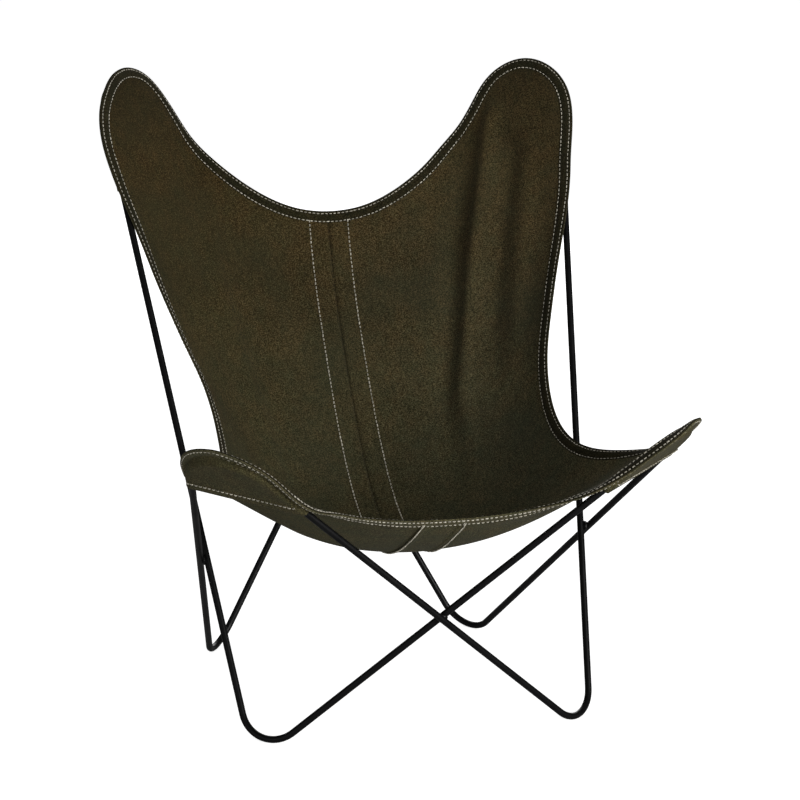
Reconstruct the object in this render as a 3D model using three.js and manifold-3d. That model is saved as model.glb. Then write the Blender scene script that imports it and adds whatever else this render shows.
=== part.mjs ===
import * as THREE from 'three';
import Module from 'manifold-3d';

// Butterfly sling chair, in millimetres, +Z up, front towards -Y.
// Two bent rod loops, welded where they cross, carry a canvas sling by four pockets.

// Rod loops: corner points are where the straight runs would meet
const rodDiameter = 10;
const frontFootHalf = 249;
const backFootHalf = 209;
const footDepth = 466;
const frontTipForward = 189;
const frontTipHeight = 526;
const backTipHalf = 382;
const backTipBack = 625;
const backTipHeight = 1037;
const footBendRadius = 49;
const frontTipRadius = 69;
const backTipRadius = 70.5;
const seamGap = 0.3;
const weldRadius = 8;
const weldDepth = 5;
const weldPassage = 64;

// Canvas sling
const canvasThickness = 1.4;
const pocketThickness = 1.2;
const bindingThickness = 0.9;
const stripThickness = 1;
const hemWidth = 13.5;
const tipFlange = 20.5;
const rodToCanvas = 1.2;
const backMouth = 61;
const backMouthSlant = -28;
const frontMouth = 20;
const frontMouthSlant = 13;
const stripHalfWidth = 32;
const seatSag = 3.12;
const foldDepth = 7;
const wrapSlack = 0.6;
const pocketRelief = 2.4;

// Tensions of the net, as shares of the weft's
const warpTensionShare = 0.494;
const topHemTensionShare = 6.35;
const sideHemTensionShare = 5.98;
const frontHemTensionShare = 1.18;
const backSagShare = 1.62;

// Soft drape folds that run down from the inner side of each high tip
const foldStartShare = 0.4;
const foldShares = [
  { column: 0.25, width: 0.035, depth: 1 },
  { column: 0.335, width: 0.04, depth: -0.6 },
];
const stripEndShare = 0.03;

// Facets
const rodSides = 14;
const bendSteps = 9;
const weldSides = 24;
const netColumns = 30;
const netRows = 32;
const cornerCells = 6;
const netSweeps = 700;
const relaxationShare = 1.9;
const middleColumn = netColumns / 2;
const stripSpreadSteps = 3;
const hoodSteps = 2;
const wrapPoints = 4;
const wrapAngleStep = Math.PI / 6;
const settlePasses = 6;
const touchPasses = 8;

const blackCoat = new THREE.MeshStandardMaterial({ color: 0x141414, roughness: 0.45, metalness: 0.2 });
blackCoat.name = 'black_powder_coat';
const canvas = new THREE.MeshStandardMaterial({ color: 0x35301f, roughness: 0.95, metalness: 0 });
canvas.name = 'olive_canvas';
const bindingCloth = new THREE.MeshStandardMaterial({ color: 0x2e2a1c, roughness: 0.95, metalness: 0 });
bindingCloth.name = 'olive_binding';

const group = new THREE.Group();
group.name = 'butterfly_chair';

const vec = (x, y, z) => new THREE.Vector3(x, y, z);
const along = (origin, direction, distance) => origin.clone().addScaledVector(direction, distance);
const unit = (from, to) => to.clone().sub(from).normalize();

function addMesh(name, geometry, material) {
  const mesh = new THREE.Mesh(geometry, material);
  mesh.name = name;
  group.add(mesh);
  return mesh;
}

function geometryFrom(points, triangles) {
  const geometry = new THREE.BufferGeometry();
  const flat = points.flatMap((p) => [p.x, p.y, p.z]);
  geometry.setAttribute('position', new THREE.BufferAttribute(new Float32Array(flat), 3));
  geometry.setIndex(triangles.flat());
  geometry.computeVertexNormals();
  return geometry;
}

// One rod loop runs: front foot, high tip on the same side, back foot on the other side,
// low tip on that side, and back to the front foot. The other loop is its mirror image.

const frontLean = Math.hypot(frontTipForward, frontTipHeight) / frontTipHeight;
const loopShift = ((rodDiameter + seamGap) / 2) * frontLean;

function loopCorners(side, frontTipHalf, footLift) {
  const shift = side * -loopShift;
  return {
    frontFoot: vec(side * frontFootHalf, shift, footLift.front),
    highTip: vec(side * backTipHalf, backTipBack + shift, backTipHeight),
    backFoot: vec(-side * backFootHalf, footDepth + shift, footLift.back),
    lowTip: vec(-side * frontTipHalf, -frontTipForward + shift, frontTipHeight),
  };
}

function bend(before, corner, after, radius) {
  const inward = unit(corner, before);
  const outward = unit(corner, after);
  const axis = inward.clone().add(outward).normalize();
  const half = inward.angleTo(outward) / 2;
  const centre = along(corner, axis, radius / Math.sin(half));
  const across = outward.clone().addScaledVector(axis, -outward.dot(axis)).normalize();
  const reach = Math.PI / 2 - half;
  const at = (angle) => along(along(centre, axis, -radius * Math.cos(angle)), across, radius * Math.sin(angle));
  return { axis, across, centre, half, reach, radius, at };
}

// Angle on a foot bend where the rod is level and touches the floor
function lowestAngle(arc) {
  return Math.atan2(-arc.across.z, arc.axis.z);
}

function bendPoints(arc, isFoot) {
  const points = [];
  if (!isFoot) {
    for (let k = 0; k <= bendSteps; k++) {
      points.push(arc.at(arc.reach * ((2 * k) / bendSteps - 1)));
    }
    return points;
  }
  const low = lowestAngle(arc);
  const pad = arc.reach / bendSteps;
  const half = (bendSteps - 1) / 2;
  for (let k = 0; k <= half; k++) {
    points.push(arc.at(-arc.reach + (low - pad + arc.reach) * (k / half)));
  }
  for (let k = 0; k <= half; k++) {
    points.push(arc.at(low + pad + (arc.reach - low - pad) * (k / half)));
  }
  return points;
}

function loopPath(corners) {
  const names = ['frontFoot', 'highTip', 'backFoot', 'lowTip'];
  const radii = {
    frontFoot: footBendRadius, backFoot: footBendRadius, highTip: backTipRadius, lowTip: frontTipRadius,
  };
  return names.flatMap((name, k) => {
    const before = corners[names[(k + 3) % 4]];
    const after = corners[names[(k + 1) % 4]];
    return bendPoints(bend(before, corners[name], after, radii[name]), name.endsWith('Foot'));
  });
}

// A round rod along a closed path, each section turned so that one flat of it faces the floor
function rodAlong(path) {
  const down = vec(0, 0, -1);
  const count = path.length;
  const points = [];
  const triangles = [];
  path.forEach((point, k) => {
    const arriving = unit(path[(k + count - 1) % count], point);
    const leaving = unit(point, path[(k + 1) % count]);
    const tangent = arriving.clone().add(leaving).normalize();
    const mitre = 1 / tangent.dot(leaving);
    const bendSide = leaving.clone().sub(arriving);
    const turn = bendSide.lengthSq() > 0 ? bendSide.normalize() : vec(0, 0, 0);
    const lower = down.clone().addScaledVector(tangent, -down.dot(tangent)).normalize();
    const sideways = new THREE.Vector3().crossVectors(tangent, lower);
    for (let s = 0; s < rodSides; s++) {
      const angle = (2 * Math.PI * (s + 1 / 2)) / rodSides;
      const spoke = lower.clone().multiplyScalar(Math.cos(angle)).addScaledVector(sideways, Math.sin(angle));
      spoke.addScaledVector(turn, spoke.dot(turn) * (mitre - 1));
      points.push(along(point, spoke, rodDiameter / 2));
    }
  });
  for (let k = 0; k < count; k++) {
    const next = (k + 1) % count;
    for (let s = 0; s < rodSides; s++) {
      const t = (s + 1) % rodSides;
      const a = k * rodSides + s;
      const b = k * rodSides + t;
      const c = next * rodSides + t;
      const d = next * rodSides + s;
      triangles.push([a, b, c], [a, c, d]);
    }
  }
  return { points, triangles };
}

// Lift each foot corner until the flat under its bend lies on the floor
function settledLift(frontTipHalf) {
  const lift = { front: 0, back: 0 };
  for (let pass = 0; pass < settlePasses; pass++) {
    const { points } = rodAlong(loopPath(loopCorners(1, frontTipHalf, lift)));
    const lowest = (inFront) => Math.min(
      ...points.filter((p) => p.y < footDepth / 2 === inFront).map((p) => p.z),
    );
    lift.front -= lowest(true);
    lift.back -= lowest(false);
  }
  return lift;
}

// Nearest points of two rod axes
function crossing(a0, a1, b0, b1) {
  const u = unit(a0, a1);
  const v = unit(b0, b1);
  const between = b0.clone().sub(a0);
  const uv = u.dot(v);
  const s = (between.dot(u) - uv * between.dot(v)) / (1 - uv * uv);
  const t = (uv * between.dot(u) - between.dot(v)) / (1 - uv * uv);
  const onA = along(a0, u, s);
  const onB = along(b0, v, t);
  return { onA, onB, u, v, distance: onA.distanceTo(onB) };
}

// The two rods that cross at one side of the chair
function sideCrossing(corners, side) {
  const outer = side < 0 ? corners.left : corners.right;
  const inner = side < 0 ? corners.right : corners.left;
  return crossing(outer.frontFoot, outer.highTip, inner.backFoot, inner.lowTip);
}

function bothLoops(frontTipHalf) {
  const lift = settledLift(frontTipHalf);
  return { left: loopCorners(-1, frontTipHalf, lift), right: loopCorners(1, frontTipHalf, lift) };
}

// The low tips stand just so wide that the rods touch where they cross at the sides
function touchingTipHalf() {
  const tightest = (half) => {
    const corners = bothLoops(half);
    return Math.min(...[-1, 1].map((side) => {
      const cross = sideCrossing(corners, side);
      return Math.sign(cross.onB.x - cross.onA.x) * side * cross.distance;
    }));
  };
  const wanted = rodDiameter + seamGap;
  let half = backTipHalf;
  for (let pass = 0; pass < touchPasses; pass++) {
    const value = tightest(half);
    const slope = (tightest(half + rodDiameter) - value) / rodDiameter;
    half += (wanted - value) / slope;
  }
  return half;
}

const corners = bothLoops(touchingTipHalf());

for (const side of ['left', 'right']) {
  const { points, triangles } = rodAlong(loopPath(corners[side]));
  addMesh(`rod_loop_${side}`, geometryFrom(points, triangles), blackCoat);
}

// Weld beads: a flattened ball at each crossing, cut clear of both rods
const wasm = await Module();
wasm.setup();
const { Manifold } = wasm;

function geometryOf(solid) {
  const mesh = solid.getMesh();
  const points = [];
  for (let k = 0; k < mesh.vertProperties.length; k += mesh.numProp) {
    points.push(vec(mesh.vertProperties[k], mesh.vertProperties[k + 1], mesh.vertProperties[k + 2]));
  }
  const triangles = [];
  for (let k = 0; k < mesh.triVerts.length; k += 3) {
    triangles.push([mesh.triVerts[k], mesh.triVerts[k + 1], mesh.triVerts[k + 2]]);
  }
  return geometryFrom(points, triangles);
}

function placed(solid, origin, zAxis, xAxis) {
  const z = zAxis.clone().normalize();
  const x = xAxis.clone().addScaledVector(z, -xAxis.dot(z)).normalize();
  const y = new THREE.Vector3().crossVectors(z, x);
  return solid.transform([x.x, x.y, x.z, 0, y.x, y.y, y.z, 0, z.x, z.y, z.z, 0, origin.x, origin.y, origin.z, 1]);
}

function weldBead(cross) {
  const middle = cross.onA.clone().add(cross.onB).divideScalar(2);
  const normal = unit(cross.onA, cross.onB);
  const bisector = cross.u.clone().add(cross.v);
  const ball = Manifold.sphere(weldRadius, weldSides).scale([1, 1, weldDepth / weldRadius]);
  const bead = placed(ball, middle, normal, bisector);
  const clearRadius = rodDiameter / 2 + seamGap;
  const passage = Manifold.cylinder(weldPassage, clearRadius, clearRadius, weldSides, true);
  const rodA = placed(passage, cross.onA, cross.u, normal);
  const rodB = placed(passage, cross.onB, cross.v, normal);
  return bead.subtract(rodA).subtract(rodB);
}

const { left, right } = corners;
const crossings = {
  front: crossing(left.frontFoot, left.lowTip, right.frontFoot, right.lowTip),
  back: crossing(left.backFoot, left.highTip, right.backFoot, right.highTip),
  left: sideCrossing(corners, -1),
  right: sideCrossing(corners, 1),
};
for (const [place, cross] of Object.entries(crossings)) {
  addMesh(`weld_${place}`, geometryOf(weldBead(cross)), blackCoat);
}

// Tip lobes: the flat ends of the sling, held in the pockets
const seatMiddle = vec(0, footDepth / 3, frontTipHeight / 2);
const canvasLift = rodDiameter / 2 + rodToCanvas + canvasThickness / 2;

function tipLobe(hemEnd, tip, sideEnd, radius, mouth, slant) {
  const arc = bend(sideEnd, tip, hemEnd, radius);
  const normal = new THREE.Vector3().crossVectors(arc.axis, arc.across);
  if (normal.dot(seatMiddle.clone().sub(tip)) < 0) {
    normal.negate();
  }
  const centre = along(arc.centre, normal, canvasLift);
  const endDistance = (sign) => mouth + sign * slant;
  // Flat coordinates: x from the bend centre into the chair, y towards the hem side
  const outlinePoint = (share, offset) => {
    const sign = share < 0 ? -1 : 1;
    const reach = radius + offset;
    const straight = (endDistance(sign) + reach * Math.sin(arc.half)) / Math.cos(arc.half);
    const bendLength = (radius + tipFlange) * arc.reach;
    const length = Math.abs(share) * (bendLength + straight);
    if (length <= bendLength) {
      const angle = (length / bendLength) * arc.reach;
      return [-reach * Math.cos(angle), sign * reach * Math.sin(angle)];
    }
    const rest = length - bendLength;
    return [
      -reach * Math.sin(arc.half) + rest * Math.cos(arc.half),
      sign * (reach * Math.cos(arc.half) + rest * Math.sin(arc.half)),
    ];
  };
  const lift = ([x, y], depth) => along(along(along(centre, arc.axis, x), arc.across, y), normal, -depth);
  return { arc, normal, outlinePoint, lift, endDistance, radius };
}

function lobeNode(lobe, a, b) {
  const share = (a - b) / cornerCells;
  const rim = lobe.outlinePoint(share, tipFlange - hemWidth);
  if (Math.abs(share) >= 1) {
    return lobe.lift(rim, 0);
  }
  const hemCorner = lobe.outlinePoint(1, tipFlange - hemWidth);
  const sideCorner = lobe.outlinePoint(-1, tipFlange - hemWidth);
  const mouth = hemCorner.map((value, k) => (value * (1 + share) + sideCorner[k] * (1 - share)) / 2);
  const inward = ((a + b) / (2 * cornerCells) - Math.abs(share) / 2) / (1 - Math.abs(share));
  return lobe.lift(rim.map((value, k) => value + (mouth[k] - value) * inward), 0);
}

const backLobe = (loop) => tipLobe(
  loop.backFoot, loop.highTip, loop.frontFoot, backTipRadius, backMouth, backMouthSlant,
);
const frontLobe = (loop) => tipLobe(
  loop.frontFoot, loop.lowTip, loop.backFoot, frontTipRadius, frontMouth, frontMouthSlant,
);
const lobes = {
  back_left: { ...backLobe(left), column: (a) => a, row: (b) => netRows - b },
  back_right: { ...backLobe(right), column: (a) => netColumns - a, row: (b) => netRows - b },
  front_left: { ...frontLobe(right), column: (a) => a, row: (b) => b },
  front_right: { ...frontLobe(left), column: (a) => netColumns - a, row: (b) => b },
};

// The sling hangs as a net of tensions between the four lobes
function hangingNet() {
  const net = Array.from({ length: netColumns + 1 }, () => new Array(netRows + 1).fill(null));
  const held = net.map((column) => column.map(() => false));
  for (const lobe of Object.values(lobes)) {
    for (let a = 0; a <= cornerCells; a++) {
      for (let b = 0; b <= cornerCells; b++) {
        net[lobe.column(a)][lobe.row(b)] = lobeNode(lobe, a, b);
        held[lobe.column(a)][lobe.row(b)] = true;
      }
    }
  }
  const free = [];
  for (let i = 0; i <= netColumns; i++) {
    for (let j = 0; j <= netRows; j++) {
      if (!held[i][j]) {
        const u = i / netColumns;
        const v = j / netRows;
        const front = net[0][0].clone().lerp(net[netColumns][0], u);
        const back = net[0][netRows].clone().lerp(net[netColumns][netRows], u);
        free.push([i, j, front.lerp(back, v)]);
      }
    }
  }
  free.forEach(([i, j, start]) => {
    net[i][j] = start;
  });
  const weft = (j) => (j === 0 ? frontHemTensionShare : j === netRows ? topHemTensionShare : 1);
  const warp = (i) => (i === 0 || i === netColumns ? sideHemTensionShare : warpTensionShare);
  for (let sweep = 0; sweep < netSweeps; sweep++) {
    for (const [i, j] of free) {
      const pull = vec(0, 0, -seatSag * (1 + backSagShare * (j / netRows - 1 / 2)));
      let total = 0;
      const tie = (column, row, tension) => {
        if (column >= 0 && column <= netColumns && row >= 0 && row <= netRows) {
          pull.addScaledVector(net[column][row], tension);
          total += tension;
        }
      };
      tie(i - 1, j, weft(j));
      tie(i + 1, j, weft(j));
      tie(i, j - 1, warp(i));
      tie(i, j + 1, warp(i));
      net[i][j].lerp(pull.divideScalar(total), relaxationShare);
    }
  }
  return net;
}

// Slide the middle columns along their rows so that the seam strip keeps its width
function squareMiddle(net) {
  for (let j = 0; j <= netRows; j++) {
    const row = net.map((column) => column[j].clone());
    for (const side of [-1, 1]) {
      const span = row[middleColumn].distanceTo(row[middleColumn + side * stripSpreadSteps]);
      for (let k = 1; k < stripSpreadSteps; k++) {
        const wanted = k === 1 ? stripHalfWidth : (stripHalfWidth + span) / 2;
        let walked = 0;
        for (let m = 0; m < netColumns / 2; m++) {
          const from = row[middleColumn + side * m];
          const to = row[middleColumn + side * (m + 1)];
          const piece = from.distanceTo(to);
          if (walked + piece >= wanted) {
            net[middleColumn + side * k][j] = from.clone().lerp(to, (wanted - walked) / piece);
            break;
          }
          walked += piece;
        }
      }
    }
  }
}

function addFolds(net, normals) {
  for (let i = 1; i < netColumns; i++) {
    for (let j = 1; j < netRows; j++) {
      const fromMiddle = Math.abs(i / netColumns - 1 / 2);
      const rise = (j / netRows - foldStartShare) / (1 - foldStartShare);
      const fade = rise > 0 ? Math.sin(Math.PI * rise) ** 2 : 0;
      for (const fold of foldShares) {
        const distance = (fromMiddle - fold.column) / fold.width;
        const lift = foldDepth * fold.depth * fade * Math.exp(-distance * distance);
        net[i][j].addScaledVector(normals[i][j], lift);
      }
    }
  }
}

function gridNormals(net) {
  return net.map((column, i) => column.map((_, j) => {
    const east = net[Math.min(i + 1, netColumns)][j];
    const west = net[Math.max(i - 1, 0)][j];
    const north = net[i][Math.min(j + 1, netRows)];
    const south = net[i][Math.max(j - 1, 0)];
    return new THREE.Vector3().crossVectors(
      east.clone().sub(west), north.clone().sub(south),
    ).normalize();
  }));
}

const net = hangingNet();
squareMiddle(net);
addFolds(net, gridNormals(net));

// A surface is points, a normal at each point, and faces. It becomes a closed sheet between two depths.
function sheetBetween(surface, above, below) {
  const count = surface.points.length;
  const points = [
    ...surface.points.map((p, k) => along(p, surface.normals[k], above)),
    ...surface.points.map((p, k) => along(p, surface.normals[k], -below)),
  ];
  const triangles = [];
  const edges = new Map();
  for (const [a, b, c] of surface.faces) {
    triangles.push([a, b, c], [count + a, count + c, count + b]);
    for (const [from, to] of [[a, b], [b, c], [c, a]]) {
      const back = `${to} ${from}`;
      if (edges.has(back)) {
        edges.delete(back);
      } else {
        edges.set(`${from} ${to}`, [from, to]);
      }
    }
  }
  for (const [from, to] of edges.values()) {
    triangles.push([to, from, count + from], [to, count + from, count + to]);
  }
  return geometryFrom(points, triangles);
}

function surfaceNormals(points, faces) {
  const normals = points.map(() => vec(0, 0, 0));
  for (const [a, b, c] of faces) {
    const face = new THREE.Vector3().crossVectors(
      points[b].clone().sub(points[a]), points[c].clone().sub(points[a]),
    );
    [a, b, c].forEach((k) => normals[k].add(face));
  }
  return normals.map((n) => n.normalize());
}

// Whole sling as one surface: the net, then a hem ring that runs on outwards from its rim
const nodeIndex = (i, j) => i * (netRows + 1) + j;
const netPoints = net.flat();
const netFaces = [];
for (let i = 0; i < netColumns; i++) {
  for (let j = 0; j < netRows; j++) {
    const corner = [nodeIndex(i, j), nodeIndex(i + 1, j), nodeIndex(i + 1, j + 1), nodeIndex(i, j + 1)];
    netFaces.push({ column: i, faces: [[corner[0], corner[1], corner[2]], [corner[0], corner[2], corner[3]]] });
  }
}
const netNormals = surfaceNormals(netPoints, netFaces.flatMap((cell) => cell.faces));

const rim = [];
for (let i = 0; i < netColumns; i++) {
  rim.push([i, 0]);
}
for (let j = 0; j < netRows; j++) {
  rim.push([netColumns, j]);
}
for (let i = netColumns; i > 0; i--) {
  rim.push([i, netRows]);
}
for (let j = netRows; j > 0; j--) {
  rim.push([0, j]);
}

const rimFrames = rim.map(([i, j], k) => {
  const here = net[i][j];
  const before = rim[(k + rim.length - 1) % rim.length];
  const after = rim[(k + 1) % rim.length];
  const tangent = unit(net[before[0]][before[1]], net[after[0]][after[1]]);
  const normal = netNormals[nodeIndex(i, j)];
  const outward = new THREE.Vector3().crossVectors(tangent, normal).normalize();
  const nearFront = j <= cornerCells;
  const nearBack = j >= netRows - cornerCells;
  const nearSide = i <= cornerCells || i >= netColumns - cornerCells;
  return { here, normal, outward, inPocket: nearSide && (nearFront || nearBack), column: i };
});

function panelSurface(fromColumn, toColumn) {
  const points = [];
  const normals = [];
  const indexOf = new Map();
  const use = (key, point, normal) => {
    if (!indexOf.has(key)) {
      indexOf.set(key, points.length);
      const side = fromColumn === 0 ? -1 : 1;
      const atSeam = key.startsWith(`${middleColumn} `) || key.startsWith(`rim ${middleColumn} `);
      points.push(atSeam ? point.clone().add(vec((side * seamGap) / 2, 0, 0)) : point.clone());
      normals.push(normal);
    }
    return indexOf.get(key);
  };
  const node = (i, j) => use(`${i} ${j}`, net[i][j], netNormals[nodeIndex(i, j)]);
  const hem = (k) => {
    const frame = rimFrames[k];
    return use(`rim ${frame.column} ${k}`, along(frame.here, frame.outward, hemWidth), frame.normal);
  };
  const faces = [];
  for (let i = fromColumn; i < toColumn; i++) {
    for (let j = 0; j < netRows; j++) {
      const [a, b, c, d] = [node(i, j), node(i + 1, j), node(i + 1, j + 1), node(i, j + 1)];
      faces.push([a, b, c], [a, c, d]);
    }
  }
  rim.forEach(([i, j], k) => {
    const next = (k + 1) % rim.length;
    const [m, n] = rim[next];
    const inside = Math.min(i, m) >= fromColumn && Math.max(i, m) <= toColumn;
    if (inside) {
      const [a, b, c, d] = [node(i, j), node(m, n), hem(next), hem(k)];
      faces.push([a, c, b], [a, d, c]);
    }
  });
  return { points, normals, faces };
}

const halfCanvas = canvasThickness / 2;
const panelBetween = (from, to) => sheetBetween(panelSurface(from, to), halfCanvas, halfCanvas);
addMesh('seat_panel_left', panelBetween(0, middleColumn), canvas);
addMesh('seat_panel_right', panelBetween(middleColumn, netColumns), canvas);

// Seam strip under the middle seam
function stripSurface() {
  const points = [];
  const normals = [];
  const faces = [];
  for (let i = middleColumn - 1; i <= middleColumn + 1; i++) {
    for (let j = 0; j <= netRows; j++) {
      const point = net[i][j].clone();
      if (j === 0) {
        point.lerp(net[i][1], stripEndShare);
      }
      if (j === netRows) {
        point.lerp(net[i][netRows - 1], stripEndShare);
      }
      points.push(point);
      normals.push(netNormals[nodeIndex(i, j)]);
    }
  }
  const at = (i, j) => i * (netRows + 1) + j;
  for (let i = 0; i < 2; i++) {
    for (let j = 0; j < netRows; j++) {
      faces.push([at(i, j), at(i + 1, j), at(i + 1, j + 1)], [at(i, j), at(i + 1, j + 1), at(i, j + 1)]);
    }
  }
  return { points, normals, faces };
}
const stripTop = halfCanvas + seamGap;
addMesh('seam_strip', sheetBetween(stripSurface(), -stripTop, stripTop + stripThickness), canvas);

// Edge binding folded round the whole rim
function bindingSolid() {
  const points = [];
  const triangles = [];
  const above = halfCanvas + seamGap;
  const sections = 8;
  for (const { here, normal, outward, inPocket } of rimFrames) {
    const below = inPocket ? above + pocketThickness + seamGap : above;
    const inner = hemWidth + seamGap;
    const outer = inner + bindingThickness;
    const backStart = inPocket ? pocketThickness + pocketRelief : 0;
    const place = (out, up) => points.push(along(along(here, outward, out), normal, up));
    place(0, above + bindingThickness);
    place(outer, above + bindingThickness);
    place(outer, -below - bindingThickness);
    place(backStart, -below - bindingThickness);
    place(backStart, -below);
    place(inner, -below);
    place(inner, above);
    place(0, above);
  }
  const count = rimFrames.length;
  for (let k = 0; k < count; k++) {
    for (let s = 0; s < sections; s++) {
      const t = (s + 1) % sections;
      const next = (k + 1) % count;
      const [a, b] = [k * sections + s, k * sections + t];
      const [c, d] = [next * sections + t, next * sections + s];
      // The diagonal runs from the inner edge outwards, as it does in the panel under it
      if (s % 4 === 2) {
        triangles.push([a, b, d], [b, c, d]);
      } else {
        triangles.push([a, b, c], [a, c, d]);
      }
    }
  }
  return geometryFrom(points, triangles);
}
addMesh('edge_binding', bindingSolid(), bindingCloth);

// Pockets: a hood behind each tip, from the rim round the rod and flat across
function pocketSurface(lobe) {
  const wrap = rodDiameter / 2 + seamGap + pocketThickness / 2 + wrapSlack;
  const rimDepth = halfCanvas + seamGap + pocketThickness / 2;
  const wrapProfile = Array.from({ length: wrapPoints }, (_, k) => [
    wrap * Math.cos(k * wrapAngleStep), canvasLift + wrap * Math.sin(k * wrapAngleStep),
  ]);
  const steps = 2 * cornerCells * hoodSteps;
  const points = [];
  const faces = [];
  const rimFrame = (k) => {
    const [i, j] = k < 0 ? [lobe.column(0), lobe.row(-k)] : [lobe.column(k), lobe.row(0)];
    return rimFrames[rim.findIndex(([m, n]) => m === i && n === j)];
  };
  const rimPoint = (k, out) => {
    const { here, outward, normal } = rimFrame(k);
    return along(along(here, outward, out), normal, -rimDepth);
  };
  for (let k = 0; k <= steps; k++) {
    const position = k / hoodSteps - cornerCells;
    const below = Math.floor(position);
    const above = Math.ceil(position);
    for (const out of [hemWidth - seamGap, 0]) {
      points.push(rimPoint(below, out).lerp(rimPoint(above, out), position - below));
    }
    for (const [offset, depth] of wrapProfile) {
      points.push(lobe.lift(lobe.outlinePoint(position / cornerCells, offset), depth));
    }
  }
  const width = 2 + wrapProfile.length;
  for (let k = 0; k < steps; k++) {
    for (let m = 0; m < width - 1; m++) {
      const [a, b, c, d] = [k * width + m, k * width + m + 1, (k + 1) * width + m + 1, (k + 1) * width + m];
      faces.push([a, b, c], [a, c, d]);
    }
  }
  // Flat part between the rods: straight lines from side to side
  const last = (k) => k * width + width - 1;
  for (let k = 0; k < steps / 2 - 1; k++) {
    const m = steps - k;
    faces.push([last(k), last(m), last(m - 1)], [last(k), last(m - 1), last(k + 1)]);
  }
  const tipStep = steps / 2;
  faces.push([last(tipStep - 1), last(tipStep + 1), last(tipStep)]);
  const normals = surfaceNormals(points, faces);
  if (normals[width].dot(lobe.normal) < 0) {
    faces.forEach((face) => face.reverse());
    normals.forEach((normal) => normal.negate());
  }
  return { points, normals, faces };
}
const halfPocket = pocketThickness / 2;
for (const [place, lobe] of Object.entries(lobes)) {
  addMesh(`pocket_${place}`, sheetBetween(pocketSurface(lobe), halfPocket, halfPocket), canvas);
}

// Stand the chair so that the middle of its plan lies over the origin
const bounds = new THREE.Box3().setFromObject(group);
const planMiddle = bounds.getCenter(new THREE.Vector3());
for (const mesh of group.children) {
  mesh.geometry.translate(-planMiddle.x, -planMiddle.y, 0);
}

export default group;
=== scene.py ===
# %% [markdown]
# # A butterfly sling chair
#
# The chair has two kinds of thing in it. The frame is two loops of bent steel
# rod, welded where they cross and coated satin black. The sling is one skin of
# olive canvas, hung on the four tips of the frame by sewn pockets.
#
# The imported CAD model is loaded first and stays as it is. Every piece made here
# is built in the same place and size, in metres, and rides on the frame's body.

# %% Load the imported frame
import math

import bpy
import numpy as np
from mathutils import Matrix, Vector


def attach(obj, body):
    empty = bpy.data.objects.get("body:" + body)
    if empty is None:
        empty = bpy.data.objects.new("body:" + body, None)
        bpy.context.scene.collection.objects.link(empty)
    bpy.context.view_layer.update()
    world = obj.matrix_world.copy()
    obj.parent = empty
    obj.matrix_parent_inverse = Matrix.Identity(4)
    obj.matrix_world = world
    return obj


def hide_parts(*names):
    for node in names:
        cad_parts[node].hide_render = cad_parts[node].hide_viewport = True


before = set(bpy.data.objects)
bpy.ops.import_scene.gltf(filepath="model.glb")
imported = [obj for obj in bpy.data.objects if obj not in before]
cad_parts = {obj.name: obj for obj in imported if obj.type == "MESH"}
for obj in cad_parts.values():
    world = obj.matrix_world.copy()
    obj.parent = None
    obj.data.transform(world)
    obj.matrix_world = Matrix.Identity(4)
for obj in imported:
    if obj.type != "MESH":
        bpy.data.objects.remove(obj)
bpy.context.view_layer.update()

# %% [markdown]
# ## Small helpers
#
# Most of this chair is swept or hung surfaces, which are easiest to compute as
# arrays of points. So three helpers are enough: one makes a mesh object from
# points and faces, one gives the faces of a grid of points, and one turns a
# surface into a closed sheet with a thickness, as cloth has.

# %% Helpers for meshes
def unit(v):
    v = np.asarray(v, float)
    return v / np.linalg.norm(v, axis=-1, keepdims=True)


def make_piece(name, points, faces, materials, slot, replaces=(), uv=None, face_slots=None):
    """A mesh object with smooth shading that rides on the frame."""
    mesh = bpy.data.meshes.new(name)
    mesh.from_pydata([tuple(p) for p in points], [], [tuple(int(k) for k in f) for f in faces])
    if uv is not None:
        layer = mesh.uv_layers.new(name="cloth")
        corner = np.empty(len(mesh.loops), int)
        mesh.loops.foreach_get("vertex_index", corner)
        layer.data.foreach_set("uv", np.asarray(uv)[corner].ravel())
    for material in materials:
        mesh.materials.append(material)
    if face_slots is not None:
        mesh.polygons.foreach_set("material_index", np.asarray(face_slots, int))
    mesh.polygons.foreach_set("use_smooth", np.ones(len(mesh.polygons), bool))
    mesh.update()
    piece = bpy.data.objects.new(name, mesh)
    bpy.context.scene.collection.objects.link(piece)
    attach(piece, "root")
    if replaces:
        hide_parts(*replaces)
    print(f"{name}: {len(mesh.vertices)} points, {len(mesh.polygons)} faces")
    return piece


def grid_faces(rows, wide, round_rows=False, round_wide=False):
    """Four-sided faces over rows of points, which may close on themselves either way."""
    k, m = np.meshgrid(np.arange(rows - (not round_rows)), np.arange(wide - (not round_wide)), indexing="ij")
    n, t = (k + 1) % rows, (m + 1) % wide
    return np.stack([k * wide + m, k * wide + t, n * wide + t, n * wide + m], -1).reshape(-1, 4).tolist()


def sheet_between(points, normals, faces, above, below):
    """A closed sheet round a surface. Its first half of points is the upper side."""
    count = len(points)
    up, down = np.broadcast_to(above, count), np.broadcast_to(below, count)
    solid = np.vstack([points + normals * up[:, None], points - normals * down[:, None]])
    faces = [tuple(f) for f in faces]
    edges = {}
    for face in faces:
        for a, b in zip(face, face[1:] + face[:1]):
            if (b, a) in edges:
                del edges[(b, a)]
            else:
                edges[(a, b)] = True
    shell = faces + [tuple(count + k for k in reversed(f)) for f in faces]
    rim = [(b, a, count + a, count + b) for a, b in edges]
    sides = [0] * len(faces) + [1] * len(faces) + [0] * len(rim)
    return solid, shell + rim, sides


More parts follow.
